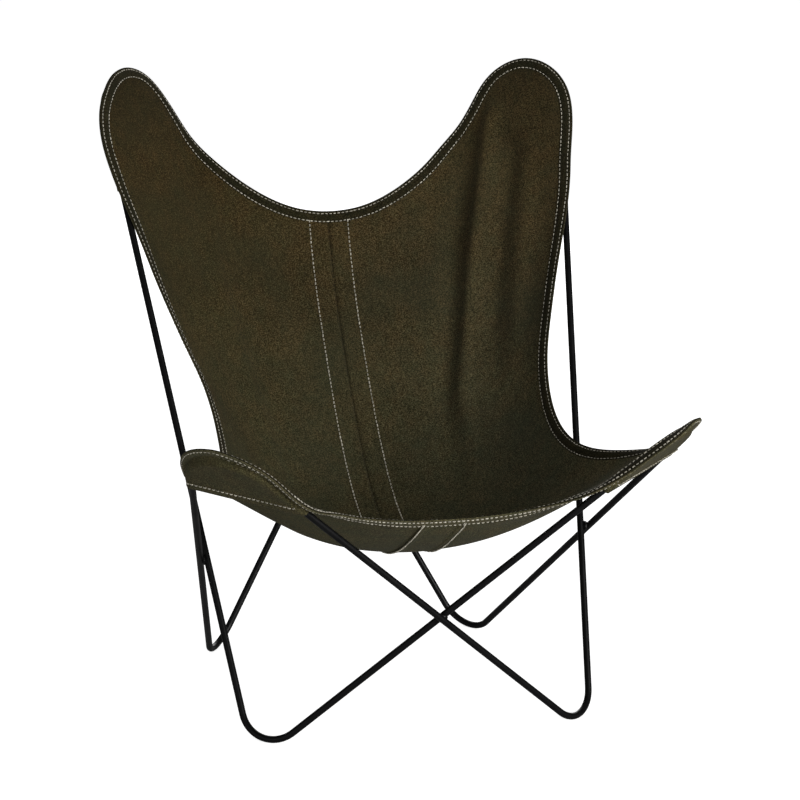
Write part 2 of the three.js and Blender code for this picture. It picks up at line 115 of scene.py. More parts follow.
# %% [markdown]
# ## The finish of the rods
#
# The frame is powder coated: a baked layer of plastic powder, satin black, with
# a very fine orange-peel skin. A plain black would look like a hole in the
# picture, so the colour wanders a little, and the bump of a small noise breaks
# the highlight the way the baked powder does.

# %% Satin black powder coat
class Look:
    """The nodes of a material or of the room, and the few steps that every look is made of."""

    def __init__(self, owner):
        owner.use_nodes = True
        self.owner, self.nodes, self.links = owner, owner.node_tree.nodes, owner.node_tree.links
        self.nodes.clear()

    def feed(self, node, inputs):
        """Give inputs of a node, by name or number, a link or a plain value each."""
        for socket, value in inputs.items():
            if isinstance(value, bpy.types.NodeSocket):
                self.links.new(value, node.inputs[socket])
            else:
                node.inputs[socket].default_value = value
        return node

    def node(self, kind, inputs=None):
        return self.feed(self.nodes.new(kind), inputs or {})

    def noise(self, place, scale, detail=3.0, roughness=0.5):
        inputs = {"Vector": place, "Scale": scale, "Detail": detail, "Roughness": roughness}
        return self.node("ShaderNodeTexNoise", inputs).outputs["Fac"]

    def stretched(self, place, scale):
        return self.node("ShaderNodeMapping", {"Vector": place, "Scale": scale}).outputs["Vector"]

    def ramp(self, factor, stops):
        """Colours along a ramp: stops are (place, (r, g, b))."""
        node = self.node("ShaderNodeValToRGB", {"Fac": factor})
        band = node.color_ramp
        while len(band.elements) < len(stops):
            band.elements.new(0.5)
        for element, (place, colour) in zip(band.elements, stops):
            element.position = place
            element.color = (*colour, 1.0)
        return node.outputs["Color"]

    def bump(self, height, strength, distance):
        inputs = {"Height": height, "Strength": strength, "Distance": distance}
        return self.node("ShaderNodeBump", inputs).outputs["Normal"]

    def mixed(self, factor, first, second, blend="MIX"):
        mix = self.node("ShaderNodeMix")
        mix.data_type, mix.blend_type = "RGBA", blend
        return self.feed(mix, {0: factor, 6: first, 7: second}).outputs[2]

    def toned(self, colour, tone, stops):
        """A colour times the shades of a ramp along a tone."""
        return self.mixed(1.0, colour, self.ramp(tone, stops), "MULTIPLY")

    def scaled(self, value, factor, offset=0.0):
        """A value times a factor plus an offset."""
        node = self.node("ShaderNodeMath", {0: value, 1: factor, 2: offset})
        node.operation = "MULTIPLY_ADD"
        return node.outputs[0]


def new_finish(name):
    """The look of a new material, and its surface shader."""
    look = Look(bpy.data.materials.new(name))
    shader = look.node("ShaderNodeBsdfPrincipled")
    look.node("ShaderNodeOutputMaterial", {"Surface": shader.outputs["BSDF"]})
    return look, shader


look, shader = new_finish("satin black powder coat")
black_coat = look.owner
place = look.node("ShaderNodeTexCoord").outputs["Object"]
coat_tone, rub, peel = look.noise(place, 60.0), look.noise(place, 25.0, 5.0), look.noise(place, 900.0, 2.0)
# A ramp's stop is a place from 0 to 1 and a colour. A bump has a strength and a depth in metres.
look.feed(shader, {
    "Base Color": look.ramp(coat_tone, [(0.3, (0.0018, 0.0018, 0.002)), (0.7, (0.0036, 0.0036, 0.004))]),
    "Roughness": look.ramp(rub, [(0.35, (0.34, 0.34, 0.34)), (0.7, (0.46, 0.46, 0.46))]),
    "Normal": look.bump(peel, 0.25, 0.0002),
})
shader.inputs["Specular IOR Level"].default_value = 0.25

# %% [markdown]
# ## The two rod loops
#
# Each loop is one 10 mm rod, bent four times and closed by a butt weld. It runs
# from a front foot to the high tip on the same side, down to the far back foot,
# up to the low front tip there, and home. The other loop is its mirror image.
#
# A curve object with a round bevel would do, but its rings turn freely. A tube
# swept here keeps each ring square to the rod and the whole loop in one mesh.

# %% Corner points of the loops
plan_shift = -0.2177944
front_foot_half, back_foot_half = 0.249, 0.209
foot_depth = 0.466
front_tip_half, front_tip_forward, front_tip_height = 0.3872277, 0.189, 0.526
back_tip_half, back_tip_back, back_tip_height = 0.382, 0.625, 1.037
front_foot_drop, back_foot_drop = -0.0286649, -0.0281540
loop_shift = 0.0054724
rod_radius = 0.005
foot_bend, front_tip_bend, back_tip_bend = 0.049, 0.069, 0.0705


def loop_corners(side):
    shift = plan_shift - side * loop_shift
    return {
        "front foot": np.array([side * front_foot_half, shift, front_foot_drop]),
        "high tip": np.array([side * back_tip_half, back_tip_back + shift, back_tip_height]),
        "back foot": np.array([-side * back_foot_half, foot_depth + shift, back_foot_drop]),
        "low tip": np.array([-side * front_tip_half, shift - front_tip_forward, front_tip_height]),
    }


loops = {"left": loop_corners(-1), "right": loop_corners(1)}


# %% Bends and the path of a loop
def bend(before, corner, after, radius):
    """The arc of a given radius that rounds a corner of the rod."""
    inward, outward = unit(before - corner), unit(after - corner)
    axis = unit(inward + outward)
    half = math.acos(float(inward @ outward)) / 2
    across = unit(outward - axis * (outward @ axis))
    centre = corner + axis * radius / math.sin(half)
    return {"axis": axis, "across": across, "centre": centre, "half": half, "radius": radius}


def bend_points(arc, steps):
    reach = math.pi / 2 - arc["half"]
    angles = np.linspace(-reach, reach, steps + 1)[:, None]
    return arc["centre"] + arc["radius"] * (np.sin(angles) * arc["across"] - np.cos(angles) * arc["axis"])


def loop_path(corners, steps=28, run_steps=14):
    names = ["front foot", "high tip", "back foot", "low tip"]
    radii = [foot_bend, back_tip_bend, foot_bend, front_tip_bend]
    arcs = []
    for k, name in enumerate(names):
        before, after = corners[names[k - 1]], corners[names[(k + 1) % 4]]
        arcs.append(bend_points(bend(before, corners[name], after, radii[k]), steps))
    path = []
    for arc, following in zip(arcs, arcs[1:] + arcs[:1]):
        path.append(arc)
        shares = np.linspace(0, 1, run_steps + 1)[1:-1, None]
        path.append(arc[-1] * (1 - shares) + following[0] * shares)
    return np.vstack(path)


def tube_along(path, radius, sides):
    """A closed tube round a closed path."""
    tangent = unit(np.roll(path, -1, 0) - np.roll(path, 1, 0))
    down = np.array([0.0, 0.0, -1.0])
    lower = unit(down - tangent * (tangent @ down)[:, None])
    sideways = np.cross(tangent, lower)
    angles = 2 * math.pi * np.arange(sides) / sides
    ring = lower[:, None] * np.cos(angles)[:, None] + sideways[:, None] * np.sin(angles)[:, None]
    points = (path[:, None] + ring * radius).reshape(-1, 3)
    return points, grid_faces(len(path), sides, round_rows=True, round_wide=True)


rod_sides = 24
for side, corners in loops.items():
    points, faces = tube_along(loop_path(corners), rod_radius, rod_sides)
    make_piece(f"rod_{side}", points, faces, [black_coat], "black_powder_coat", [f"rod_loop_{side}"])

# %% [markdown]
# ## Weld beads
#
# Where two rods cross they touch at one point, and a welder runs a short bead
# round it. On the real chair it is ground lightly and coated over, so it reads
# as a small soft lump that fills the notch between the rods. A flattened ball
# with a few ripples round it, partly inside both rods, gives that.

# %% Beads at the four crossings
def crossing(a0, a1, b0, b1):
    """Where two straight rods come closest: a point on each, and their directions."""
    u, v = unit(a1 - a0), unit(b1 - b0)
    between, uv = b0 - a0, u @ v
    s = (between @ u - uv * (between @ v)) / (1 - uv * uv)
    t = (uv * (between @ u) - between @ v) / (1 - uv * uv)
    return a0 + u * s, b0 + v * t, u, v


left, right = loops["left"], loops["right"]
crossings = {
    "front": crossing(left["front foot"], left["low tip"], right["front foot"], right["low tip"]),
    "back": crossing(left["back foot"], left["high tip"], right["back foot"], right["high tip"]),
    "left": crossing(left["front foot"], left["high tip"], right["back foot"], right["low tip"]),
    "right": crossing(right["front foot"], right["high tip"], left["back foot"], left["low tip"]),
}
bead_radius, bead_depth = 0.0072, 0.0042
bead_ripples, ripple_height = 9, 0.05
rings, around = 15, 40
polar = np.linspace(0, math.pi, rings + 2)[1:-1]
turn = 2 * math.pi * np.arange(around) / around
last = 1 + rings * around
bead_faces = [(0, 1 + k, 1 + (k + 1) % around) for k in range(around)]
bead_faces += [(a + 1, d + 1, c + 1, b + 1) for a, b, c, d in grid_faces(rings, around, round_wide=True)]
bead_faces += [(last, last - around + (k + 1) % around, last - around + k) for k in range(around)]
for place_name, (on_a, on_b, u, v) in crossings.items():
    middle, normal = (on_a + on_b) / 2, unit(on_b - on_a)
    first = unit(u + v - normal * ((u + v) @ normal))
    second = np.cross(normal, first)
    points = [middle + normal * bead_depth]
    for p in polar:
        swell = 1 + ripple_height * np.sin(bead_ripples * turn) * math.sin(p) ** 2
        reach = bead_radius * math.sin(p) * swell
        flat = first * (np.cos(turn) * reach)[:, None] + second * (np.sin(turn) * reach)[:, None]
        points.extend(middle + flat + normal * bead_depth * math.cos(p))
    points.append(middle - normal * bead_depth)
    make_piece(f"weld_bead_{place_name}", points, bead_faces, [black_coat], "black_powder_coat",
               [f"weld_{place_name}"])

# %% [markdown]
# ## How the sling hangs
#
# Cloth held at four places and pulled by its own hems takes a saddle shape that
# no simple formula gives. A net of strings finds it: every knot moves to where
# the pulls of its neighbours and its weight balance. With the pulls given, this
# is one set of linear equations, so it is solved at once and exactly.
#
# The four tips are flat lobes, because the bent rod inside each pocket
# stretches the cloth flat. They are the fixed corners of the net.

# %% The flat lobes at the tips
room_for_canvas = 0.0014
rod_to_canvas = 0.0012
canvas_lift = rod_radius + rod_to_canvas + room_for_canvas / 2
tip_flange, hem_width = 0.0205, 0.0135
back_mouth, back_slant = 0.061, -0.028
front_mouth, front_slant = 0.020, 0.013
columns, rows, corner_cells = 30, 32, 6
seat_middle = np.array([0.0, foot_depth / 3 + plan_shift, front_tip_height / 2])


class Lobe:
    """The flat end of the sling over one tip of the frame."""

    def __init__(self, hem_end, tip, side_end, radius, mouth, slant, column, row):
        arc = bend(side_end, tip, hem_end, radius)
        self.axis, self.across, self.half = arc["axis"], arc["across"], arc["half"]
        normal = np.cross(self.axis, self.across)
        self.normal = -normal if normal @ (seat_middle - tip) < 0 else normal
        self.centre = arc["centre"] + self.normal * canvas_lift
        self.radius, self.mouth, self.slant = radius, mouth, slant
        self.column, self.row = column, row

    def outline(self, share, offset):
        """Flat coordinates of a point beside the rod; share runs from -1 to 1 round the tip."""
        sign = -1 if share < 0 else 1
        reach = self.radius + offset
        straight = (self.mouth + sign * self.slant + reach * math.sin(self.half)) / math.cos(self.half)
        turn = math.pi / 2 - self.half
        bend_length = (self.radius + tip_flange) * turn
        length = abs(share) * (bend_length + straight)
        if length <= bend_length:
            angle = length / bend_length * turn
            return np.array([-reach * math.cos(angle), sign * reach * math.sin(angle)])
        rest = length - bend_length
        return np.array([
            -reach * math.sin(self.half) + rest * math.cos(self.half),
            sign * (reach * math.cos(self.half) + rest * math.sin(self.half)),
        ])

    def lift(self, flat, depth=0.0):
        return self.centre + self.axis * flat[0] + self.across * flat[1] - self.normal * depth

    def flat_node(self, a, b):
        """Flat coordinates of the net's knot a columns and b rows from its corner."""
        share = (a - b) / corner_cells
        rim = self.outline(share, tip_flange - hem_width)
        if abs(share) >= 1:
            return rim
        hem_corner = self.outline(1, tip_flange - hem_width)
        side_corner = self.outline(-1, tip_flange - hem_width)
        mouth = (hem_corner * (1 + share) + side_corner * (1 - share)) / 2
        inward = ((a + b) / (2 * corner_cells) - abs(share) / 2) / (1 - abs(share))
        return rim + (mouth - rim) * inward


# %% The four lobes
def back_lobe(loop, column):
    return Lobe(loop["back foot"], loop["high tip"], loop["front foot"], back_tip_bend,
                back_mouth, back_slant, column, lambda b: rows - b)


def front_lobe(loop, column):
    return Lobe(loop["front foot"], loop["low tip"], loop["back foot"], front_tip_bend,
                front_mouth, front_slant, column, lambda b: b)


lobes = {
    "back_left": back_lobe(left, lambda a: a),
    "back_right": back_lobe(right, lambda a: columns - a),
    "front_left": front_lobe(right, lambda a: a),
    "front_right": front_lobe(left, lambda a: columns - a),
}

# %% Balance the net
warp_pull, top_hem_pull, side_hem_pull, front_hem_pull = 0.494, 6.35, 5.98, 1.18
sag, back_sag_share = 0.00312, 1.62


def hanging_net():
    """Place every free knot of the net where its pulls and its weight balance."""
    net = np.zeros((columns + 1, rows + 1, 3))
    held = np.zeros((columns + 1, rows + 1), bool)
    for lobe in lobes.values():
        for a in range(corner_cells + 1):
            for b in range(corner_cells + 1):
                net[lobe.column(a), lobe.row(b)] = lobe.lift(lobe.flat_node(a, b))
                held[lobe.column(a), lobe.row(b)] = True
    number = -np.ones(held.shape, int)
    number[~held] = np.arange((~held).sum())
    pulls = np.zeros(((~held).sum(),) * 2)
    loads = np.zeros((len(pulls), 3))
    for i, j in zip(*np.nonzero(~held)):
        k = number[i, j]
        weft = front_hem_pull if j == 0 else top_hem_pull if j == rows else 1.0
        warp = side_hem_pull if i in (0, columns) else warp_pull
        loads[k, 2] -= sag * (1 + back_sag_share * (j / rows - 0.5))
        for m, n, pull in ((i - 1, j, weft), (i + 1, j, weft), (i, j - 1, warp), (i, j + 1, warp)):
            if 0 <= m <= columns and 0 <= n <= rows:
                pulls[k, k] += pull
                if held[m, n]:
                    loads[k] += pull * net[m, n]
                else:
                    pulls[k, number[m, n]] -= pull
    net[~held] = np.linalg.solve(pulls, loads)
    return net


net = hanging_net()
print("middle of the top hem:", net[columns // 2, rows].round(3), "front hem:", net[columns // 2, 0].round(3))

# %% [markdown]
# The strip that backs the middle seam is 64 mm wide along its whole length. The
# columns of the net nearest the seam are slid along their rows, so that one of
# them lies exactly where the strip's edge is.

# %% Keep the strip's width
strip_half = 0.032
middle_column = columns // 2


def walked(line):
    """Distance along a line of points to each of them."""
    return np.concatenate([[0], np.cumsum(np.linalg.norm(np.diff(line, axis=0), axis=1))])


def taken(places, at, values):
    """Rows of values at some places, between the places where they are known."""
    return np.stack([np.interp(places, at, column) for column in values.T], -1)


def walk_row(row, side, wanted):
    """The point of a row at a given distance from the middle seam."""
    line = row[middle_column::side]
    return taken(wanted, walked(line), line)


for j in range(rows + 1):
    row = net[:, j].copy()
    for side in (-1, 1):
        span = np.linalg.norm(row[middle_column + 3 * side] - row[middle_column])
        net[middle_column + side, j] = walk_row(row, side, strip_half)
        net[middle_column + 2 * side, j] = walk_row(row, side, (strip_half + span) / 2)

# %% [markdown]
# ## A smooth skin through the net
#
# The net has a knot every 25 mm or so. A cloth surface needs more, so a natural
# cubic spline is passed through the knots both ways. Inside the lobes the exact
# flat outline is used instead, which keeps the round ends truly round.

# %% Spline through the knots
def spline_weights(count, finer):
    """Weights that turn count + 1 values into count * finer + 1 values on a natural cubic spline."""
    system = np.eye(count + 1)
    right_side = np.zeros((count + 1, count + 1))
    for k in range(1, count):
        system[k, k - 1 : k + 2] = (1, 4, 1)
        right_side[k, k - 1 : k + 2] = (6, -12, 6)
    curvature = np.linalg.solve(system, right_side)
    weights = np.zeros((count * finer + 1, count + 1))
    for m in range(count * finer + 1):
        k = min(m // finer, count - 1)
        b = m / finer - k
        a = 1 - b
        weights[m, k] += a
        weights[m, k + 1] += b
        weights[m] += ((a**3 - a) * curvature[k] + (b**3 - b) * curvature[k + 1]) / 6
    return weights


finer = 5
fine_columns, fine_rows = columns * finer, rows * finer
skin = np.einsum("pi,ijk,qj->pqk", spline_weights(columns, finer), net, spline_weights(rows, finer))
for lobe in lobes.values():
    for a in range(corner_cells * finer + 1):
        for b in range(corner_cells * finer + 1):
            p, q = round(lobe.column(a / finer) * finer), round(lobe.row(b / finer) * finer)
            skin[p, q] = lobe.lift(lobe.flat_node(a / finer, b / finer))
print("skin:", skin.shape[:2], "points")

# %% [markdown]
# ## The rim of the sling
#
# Everything sewn at the edge follows one closed line, the rim. At each point of
# it three directions are kept: along the hem, outwards in the plane of the
# cloth, and up off the cloth.
#
# Canvas this heavy doesn't turn a sharp corner where a lobe lets go of the hem,
# so the skin is evened out a little here, and its rim only along itself.

# %% Rim points, and an even skin
rim_index = [(p, 0) for p in range(fine_columns)]
rim_index += [(fine_columns, q) for q in range(fine_rows)]
rim_index += [(p, fine_rows) for p in range(fine_columns, 0, -1)]
rim_index += [(0, q) for q in range(fine_rows, 0, -1)]
rim_p, rim_q = np.array(rim_index).T
every_p, every_q = np.meshgrid(np.arange(fine_columns + 1), np.arange(fine_rows + 1), indexing="ij")
side_gaps = (every_p, fine_columns - every_p, every_q, fine_rows - every_q)
edge_gap = np.minimum.reduce(side_gaps)


def smoothed_round(values, passes):
    """Even out values along a closed line."""
    for _ in range(passes):
        values = (np.roll(values, 1, 0) + 2 * values + np.roll(values, -1, 0)) / 4
    return values


def evened(grid, passes):
    """Even out the inside of a grid, and its rim only along itself."""
    for _ in range(passes):
        sides = grid[:-2, 1:-1] + grid[2:, 1:-1] + grid[1:-1, :-2] + grid[1:-1, 2:]
        rim = smoothed_round(grid[rim_p, rim_q], 1)
        grid[1:-1, 1:-1] = (sides + 4 * grid[1:-1, 1:-1]) / 8
        grid[rim_p, rim_q] = rim
    return grid


def grid_normals(grid):
    """The way up off the cloth at every point of a grid."""
    return unit(np.cross(np.gradient(grid, axis=0), np.gradient(grid, axis=1)))


up_passes, along_passes, evening_passes = 6, 3, 14


def rim_directions(grid):
    """Points of the rim, the way outwards in the cloth, and the way up off it."""
    here = grid[rim_p, rim_q]
    up = unit(smoothed_round(grid_normals(grid)[rim_p, rim_q], up_passes))
    along = unit(smoothed_round(np.roll(here, -1, 0) - np.roll(here, 1, 0), along_passes))
    out = unit(np.cross(along, up))
    return here, out, unit(np.cross(out, along))


skin = evened(skin, evening_passes)

# %% [markdown]
# ## How the hem really lies
#
# On the real chair the sling isn't cut exactly to the rods. Over a high tip the
# hem hugs the bend on one side and stands off it on the other, and draws in
# again before the mouth of the pocket. A free hem also sags or curls a little.
# And beyond the rod the hem isn't level with the canvas: the pocket behind it
# pulls it down round the rod.
#
# So each edge gets a few stations, from its left or front end: a share of the
# edge, the reach outwards and the lift off the cloth in millimetres, and the
# tilt of the hem beyond the rod in degrees. Cloth near the edge moves along.

# %% Stations along the four edges
hem_lie = {
    "front": [(0, 1, 0, 3), (0.08, 0, 0, 12), (0.16, 0, 0, 28), (0.2, 0, 0, 24), (0.24, 0, 0, 0),
              (0.5, 0, 0, 0), (0.65, 0, -6, 0), (0.8, 0, -2, 10), (0.86, 0, 0, 32), (0.95, 0, 0, 34),
              (1, 9, 0, 12)],
    "right": [(0, 9, 0, 12), (0.06, 5, 0, 12), (0.15, 0, 0, 14), (0.22, -1, 0, 10), (0.3, 0, 0, 0),
              (0.62, 2, 0, 0), (0.68, 8, 0, 0), (0.74, 7, 0, 0), (0.77, 5, 0, 3), (0.82, -9, 0, 5),
              (0.88, 1, 0, 5), (0.94, 0, 0, 5), (1, 4, 0, 5)],
    "top": [(0, -1, 0, 5), (0.08, 17, 0, 5), (0.12, 12, 0, 5), (0.17, 14, 0, 3), (0.23, 1, 0, 0),
            (0.5, 3, 0, 0), (0.63, -1, 0, 0), (0.73, -4, 0, 0), (0.77, -1, 0, 2), (0.83, -7, 0, 5),
            (0.87, -9, 0, 5), (0.93, 0, 0, 5), (1, 6, 0, 5)],
    "left": [(0, 3, 0, 3), (0.04, 5, 0, 5), (0.07, 4, 0, 8), (0.1, -2, 0, 8), (0.17, -8, 0, 8),
             (0.2, -7, 0, 8), (0.3, 0, 0, 0), (0.48, 0, 0, 0), (0.55, 0, 4, 0), (0.6, 0, 4, 0),
             (0.65, 0, -2, 0), (0.72, 0, -5, 0), (0.755, -4, -3, 1), (0.79, -3, -1, 2), (0.82, -2, 0, 3),
             (0.86, 8, 0, 5), (0.89, 6, 0, 5), (0.93, -9, 0, 5), (0.97, -9, 0, 5), (1, -1, 0, 5)],
}

# %% Reach, lift and tilt at every point of the rim
share_p, share_q = rim_p / fine_columns, rim_q / fine_rows
rim_lie = np.zeros((len(rim_index), 3))
for edge_name, on_edge, share in (("front", rim_q == 0, share_p), ("right", rim_p == fine_columns, share_q),
                                  ("top", rim_q == fine_rows, share_p), ("left", rim_p == 0, share_q)):
    stations = np.array(hem_lie[edge_name], float).T
    for k in range(3):
        rim_lie[on_edge, k] = np.interp(share[on_edge], stations[0], stations[k + 1])
lie_passes = 18
rim_lie = smoothed_round(rim_lie, lie_passes)
rim_reach, rim_lift, rim_tilt = rim_lie[:, 0] / 1000, rim_lie[:, 1] / 1000, np.radians(rim_lie[:, 2])
rod_gap = tip_flange - hem_width + rim_reach


def smooth_step(x):
    x = np.clip(x, 0, 1)
    return x * x * (3 - 2 * x)


# %% Move and tilt the hem
rim_hold = 0.3  # in cells; the smaller it is, the more each edge keeps its own shift


def moved_hem(grid, depth=30):
    """Move the rim by its reach and lift, and the cloth inside up to a depth in cells."""
    _, out, up = rim_directions(grid)
    moved = np.zeros_like(grid)
    moved[rim_p, rim_q] = out * rim_reach[:, None] + up * rim_lift[:, None]
    sources = (moved[:1], moved[-1:], moved[:, :1], moved[:, -1:])
    nearness = [1 / (gap + rim_hold) ** 2 for gap in side_gaps]
    shift = sum(n[..., None] * source for n, source in zip(nearness, sources)) / sum(nearness)[..., None]
    return grid + shift * (1 - smooth_step(edge_gap / depth))[..., None]


def tilted_hem(grid, depth=4, slack=0.001):
    """Turn the cloth beyond the rods down by the tilt, about the line of the rod."""
    here, _, up = rim_directions(grid)
    near = np.argwhere(edge_gap <= depth)
    place = grid[near[:, 0], near[:, 1]]
    away = np.linalg.norm(place[:, None] - here[None], axis=2)
    nearest = away.argmin(1)
    beyond = np.maximum(0, rod_gap[nearest] + slack - away.min(1))
    grid[near[:, 0], near[:, 1]] = place - up[nearest] * (np.tan(rim_tilt[nearest]) * beyond)[:, None]
    return grid


skin = tilted_hem(moved_hem(skin))
print("hem reach in mm:", round(float(rim_lie[:, 0].min()), 1), "to", round(float(rim_lie[:, 0].max()), 1))

# %% [markdown]
# ## Drape folds
#
# Between the tight hems the canvas isn't a perfect saddle. Where the pocket
# lets go of it on the inner side of a high tip it turns over a soft fold that
# runs down the wing and dies out, and the belly is fuller on one side. The folds
# are drawn as lines on the skin, in shares of its width and length, and push it
# in or out along its normal.

# %% Lines on the skin
def on_skin(u, v):
    """Point of the skin at shares u of its columns and v of its rows."""
    p, q = u * fine_columns, v * fine_rows
    i, j = min(int(p), fine_columns - 1), min(int(q), fine_rows - 1)
    s, t = p - i, q - j
    return ((skin[i, j] * (1 - s) + skin[i + 1, j] * s) * (1 - t)
            + (skin[i, j + 1] * (1 - s) + skin[i + 1, j + 1] * s) * t)


def distance_to_line(grid, line):
    """Distance of every point to a polyline, and how far along it the nearest place is."""
    best = np.full(grid.shape[:2], 1e9)
    where = np.zeros(grid.shape[:2])
    for k, (a, b) in enumerate(zip(line[:-1], line[1:])):
        along = b - a
        share = np.clip(((grid - a) @ along) / (along @ along), 0, 1)
        gap = np.linalg.norm(grid - (a + share[..., None] * along), axis=2)
        closer = gap < best
        best = np.where(closer, gap, best)
        where = np.where(closer, (k + share) / (len(line) - 1), where)
    return best, where


# %% Push the folds in
# Each fold: its line in shares of the skin, its half width and its height, in metres
fold_shares = [
    ([(0.27, 0.93), (0.265, 0.80), (0.26, 0.66), (0.255, 0.5)], 0.016, 0.0045),
    ([(0.32, 0.93), (0.315, 0.80), (0.31, 0.66), (0.30, 0.5)], 0.02, -0.003),
    ([(0.895, 0.985), (0.845, 0.95), (0.805, 0.912), (0.768, 0.85), (0.748, 0.79), (0.742, 0.68),
      (0.745, 0.5)], 0.0138, 0.0122),
    ([(0.835, 0.90), (0.812, 0.83), (0.806, 0.78), (0.82, 0.72), (0.83, 0.62)], 0.016, -0.0055),
    ([(0.885, 0.86), (0.868, 0.79), (0.885, 0.72), (0.89, 0.64)], 0.016, 0.004),
    ([(0.77, 0.93), (0.735, 0.87), (0.71, 0.80), (0.695, 0.68), (0.70, 0.5)], 0.018, -0.006),
    ([(0.72, 0.03), (0.69, 0.15), (0.66, 0.28), (0.62, 0.42)], 0.09, -0.0062),
    ([(0.24, 0.05), (0.27, 0.18), (0.30, 0.32)], 0.08, 0.004),
]
fade_cells = 9
normals = grid_normals(skin)
push = np.zeros(skin.shape[:2])
for line, half_width, height in fold_shares:
    gap, where = distance_to_line(skin, [on_skin(u, v) for u, v in line])
    push += height * np.exp(-((gap / half_width) ** 2)) * np.sin(math.pi * np.clip(where, 0, 1)) ** 0.7
push *= smooth_step(edge_gap / fade_cells)
skin = skin + normals * push[..., None]
print("deepest push:", round(float(np.abs(push).max()) * 1000, 1), "mm")

# %% [markdown]
# ## Cloth coordinates
#
# The weave has to run straight along the cloth and at one scale all over, so
# each point gets its place in the flat cloth: how far it lies from the middle
# seam along its row, and how far from the middle row along its column. In the
# lobes the columns fan out, so there the flat lobe itself is fitted on, and the
# two are blended over a few cells at the lobe's border.

# %% Lay the cloth coordinates
def walked_from(grid, start, axis):
    """Distances walked over a grid along one axis, from its row or column with number start."""
    steps = np.linalg.norm(np.diff(grid, axis=axis), axis=2)
    total = np.concatenate([np.zeros_like(np.take(steps, [0], axis)), np.cumsum(steps, axis)], axis)
    return total - np.take(total, [start], axis)


walked_cloth = np.stack([walked_from(skin, fine_columns // 2, 0), walked_from(skin, fine_rows // 2, 1)], -1)
cloth = walked_cloth
pocket_reach = corner_cells * finer
blend_start, blend_cells = pocket_reach + 3, 6
for lobe in lobes.values():
    from_corner = np.maximum(abs(every_p - lobe.column(0) * finer), abs(every_q - lobe.row(0) * finer))
    flat = np.stack([(skin - lobe.centre) @ lobe.axis, (skin - lobe.centre) @ lobe.across], -1)
    border = from_corner == pocket_reach
    mid_flat, mid_walked = flat[border].mean(0), walked_cloth[border].mean(0)
    u, _, vt = np.linalg.svd((flat[border] - mid_flat).T @ (walked_cloth[border] - mid_walked))
    fitted = (flat - mid_flat) @ (u @ vt) + mid_walked
    share = smooth_step((blend_start - from_corner) / blend_cells)[..., None]
    cloth = cloth + (fitted - cloth) * share
    gap = np.linalg.norm(fitted - walked_cloth, axis=2)[border]
    print("lobe's flat place differs by up to", round(float(gap.max()) * 1000, 1), "mm at its border")

# %% Directions and length of the rim
normals = grid_normals(skin)
rim_here, rim_out, rim_normal = rim_directions(skin)
rim_length = walked(np.vstack([rim_here, rim_here[:1]]))
near_side = (rim_p <= pocket_reach) | (rim_p >= fine_columns - pocket_reach)
near_end = (rim_q <= pocket_reach) | (rim_q >= fine_rows - pocket_reach)
in_pocket = smoothed_round((near_side & near_end).astype(float), along_passes)
print("hem length:", round(float(rim_length[-1]), 3), "m")

# %% [markdown]
# ## The canvas
#
# The real cloth is a heavy plain-weave cotton of about 500 grams a square metre.
# Three things make it read as canvas from a step away: yarns of uneven thickness,
# so that light and dark flecks run along both thread directions, faint rubbed
# patches and streaks a few centimetres long, and a slow drift of the dye between
# brown and green. Up close the crossing threads show, so the bump has the weave
# itself. The outer faces of the sling and the pockets are paler copies of the
# canvas, painted light for the light they catch. On the inner face the colour is
# painted darker towards the high tips and paler and greyer low down and to the
# right, as painted shade and painted light.

# %% Painted shade and light on the canvas
def seam_painted_shade(look, uv):
    """Painted shade in the groove of the middle seam: how far it darkens the cloth, a little on the seam and
    not at all beside it.
    """
    across = look.node("ShaderNodeSeparateXYZ", {"Vector": uv}).outputs["X"]
    distance = look.node("ShaderNodeMath", {0: across})
    distance.operation = "ABSOLUTE"
    return look.node("ShaderNodeMapRange", {
        "Value": distance.outputs[0], "From Min": 0.0007, "From Max": 0.0022, "To Min": 0.1, "To Max": 0.0,
    }).outputs["Result"]


def painted_light_and_shade(look, room, colour, by_height, by_side):
    """Painted light and shade on the inner face: its colour changed by height and by side."""
    parts = look.node("ShaderNodeSeparateXYZ", {"Vector": room})
    colour = look.toned(colour, parts.outputs["Z"], by_height)
    from_left = look.scaled(parts.outputs["X"], 1.0, 0.5)
    return look.toned(colour, from_left, by_side)


# %% Woven cloth material
crossing_size = 0.0014
threads_per_metre = 330.0


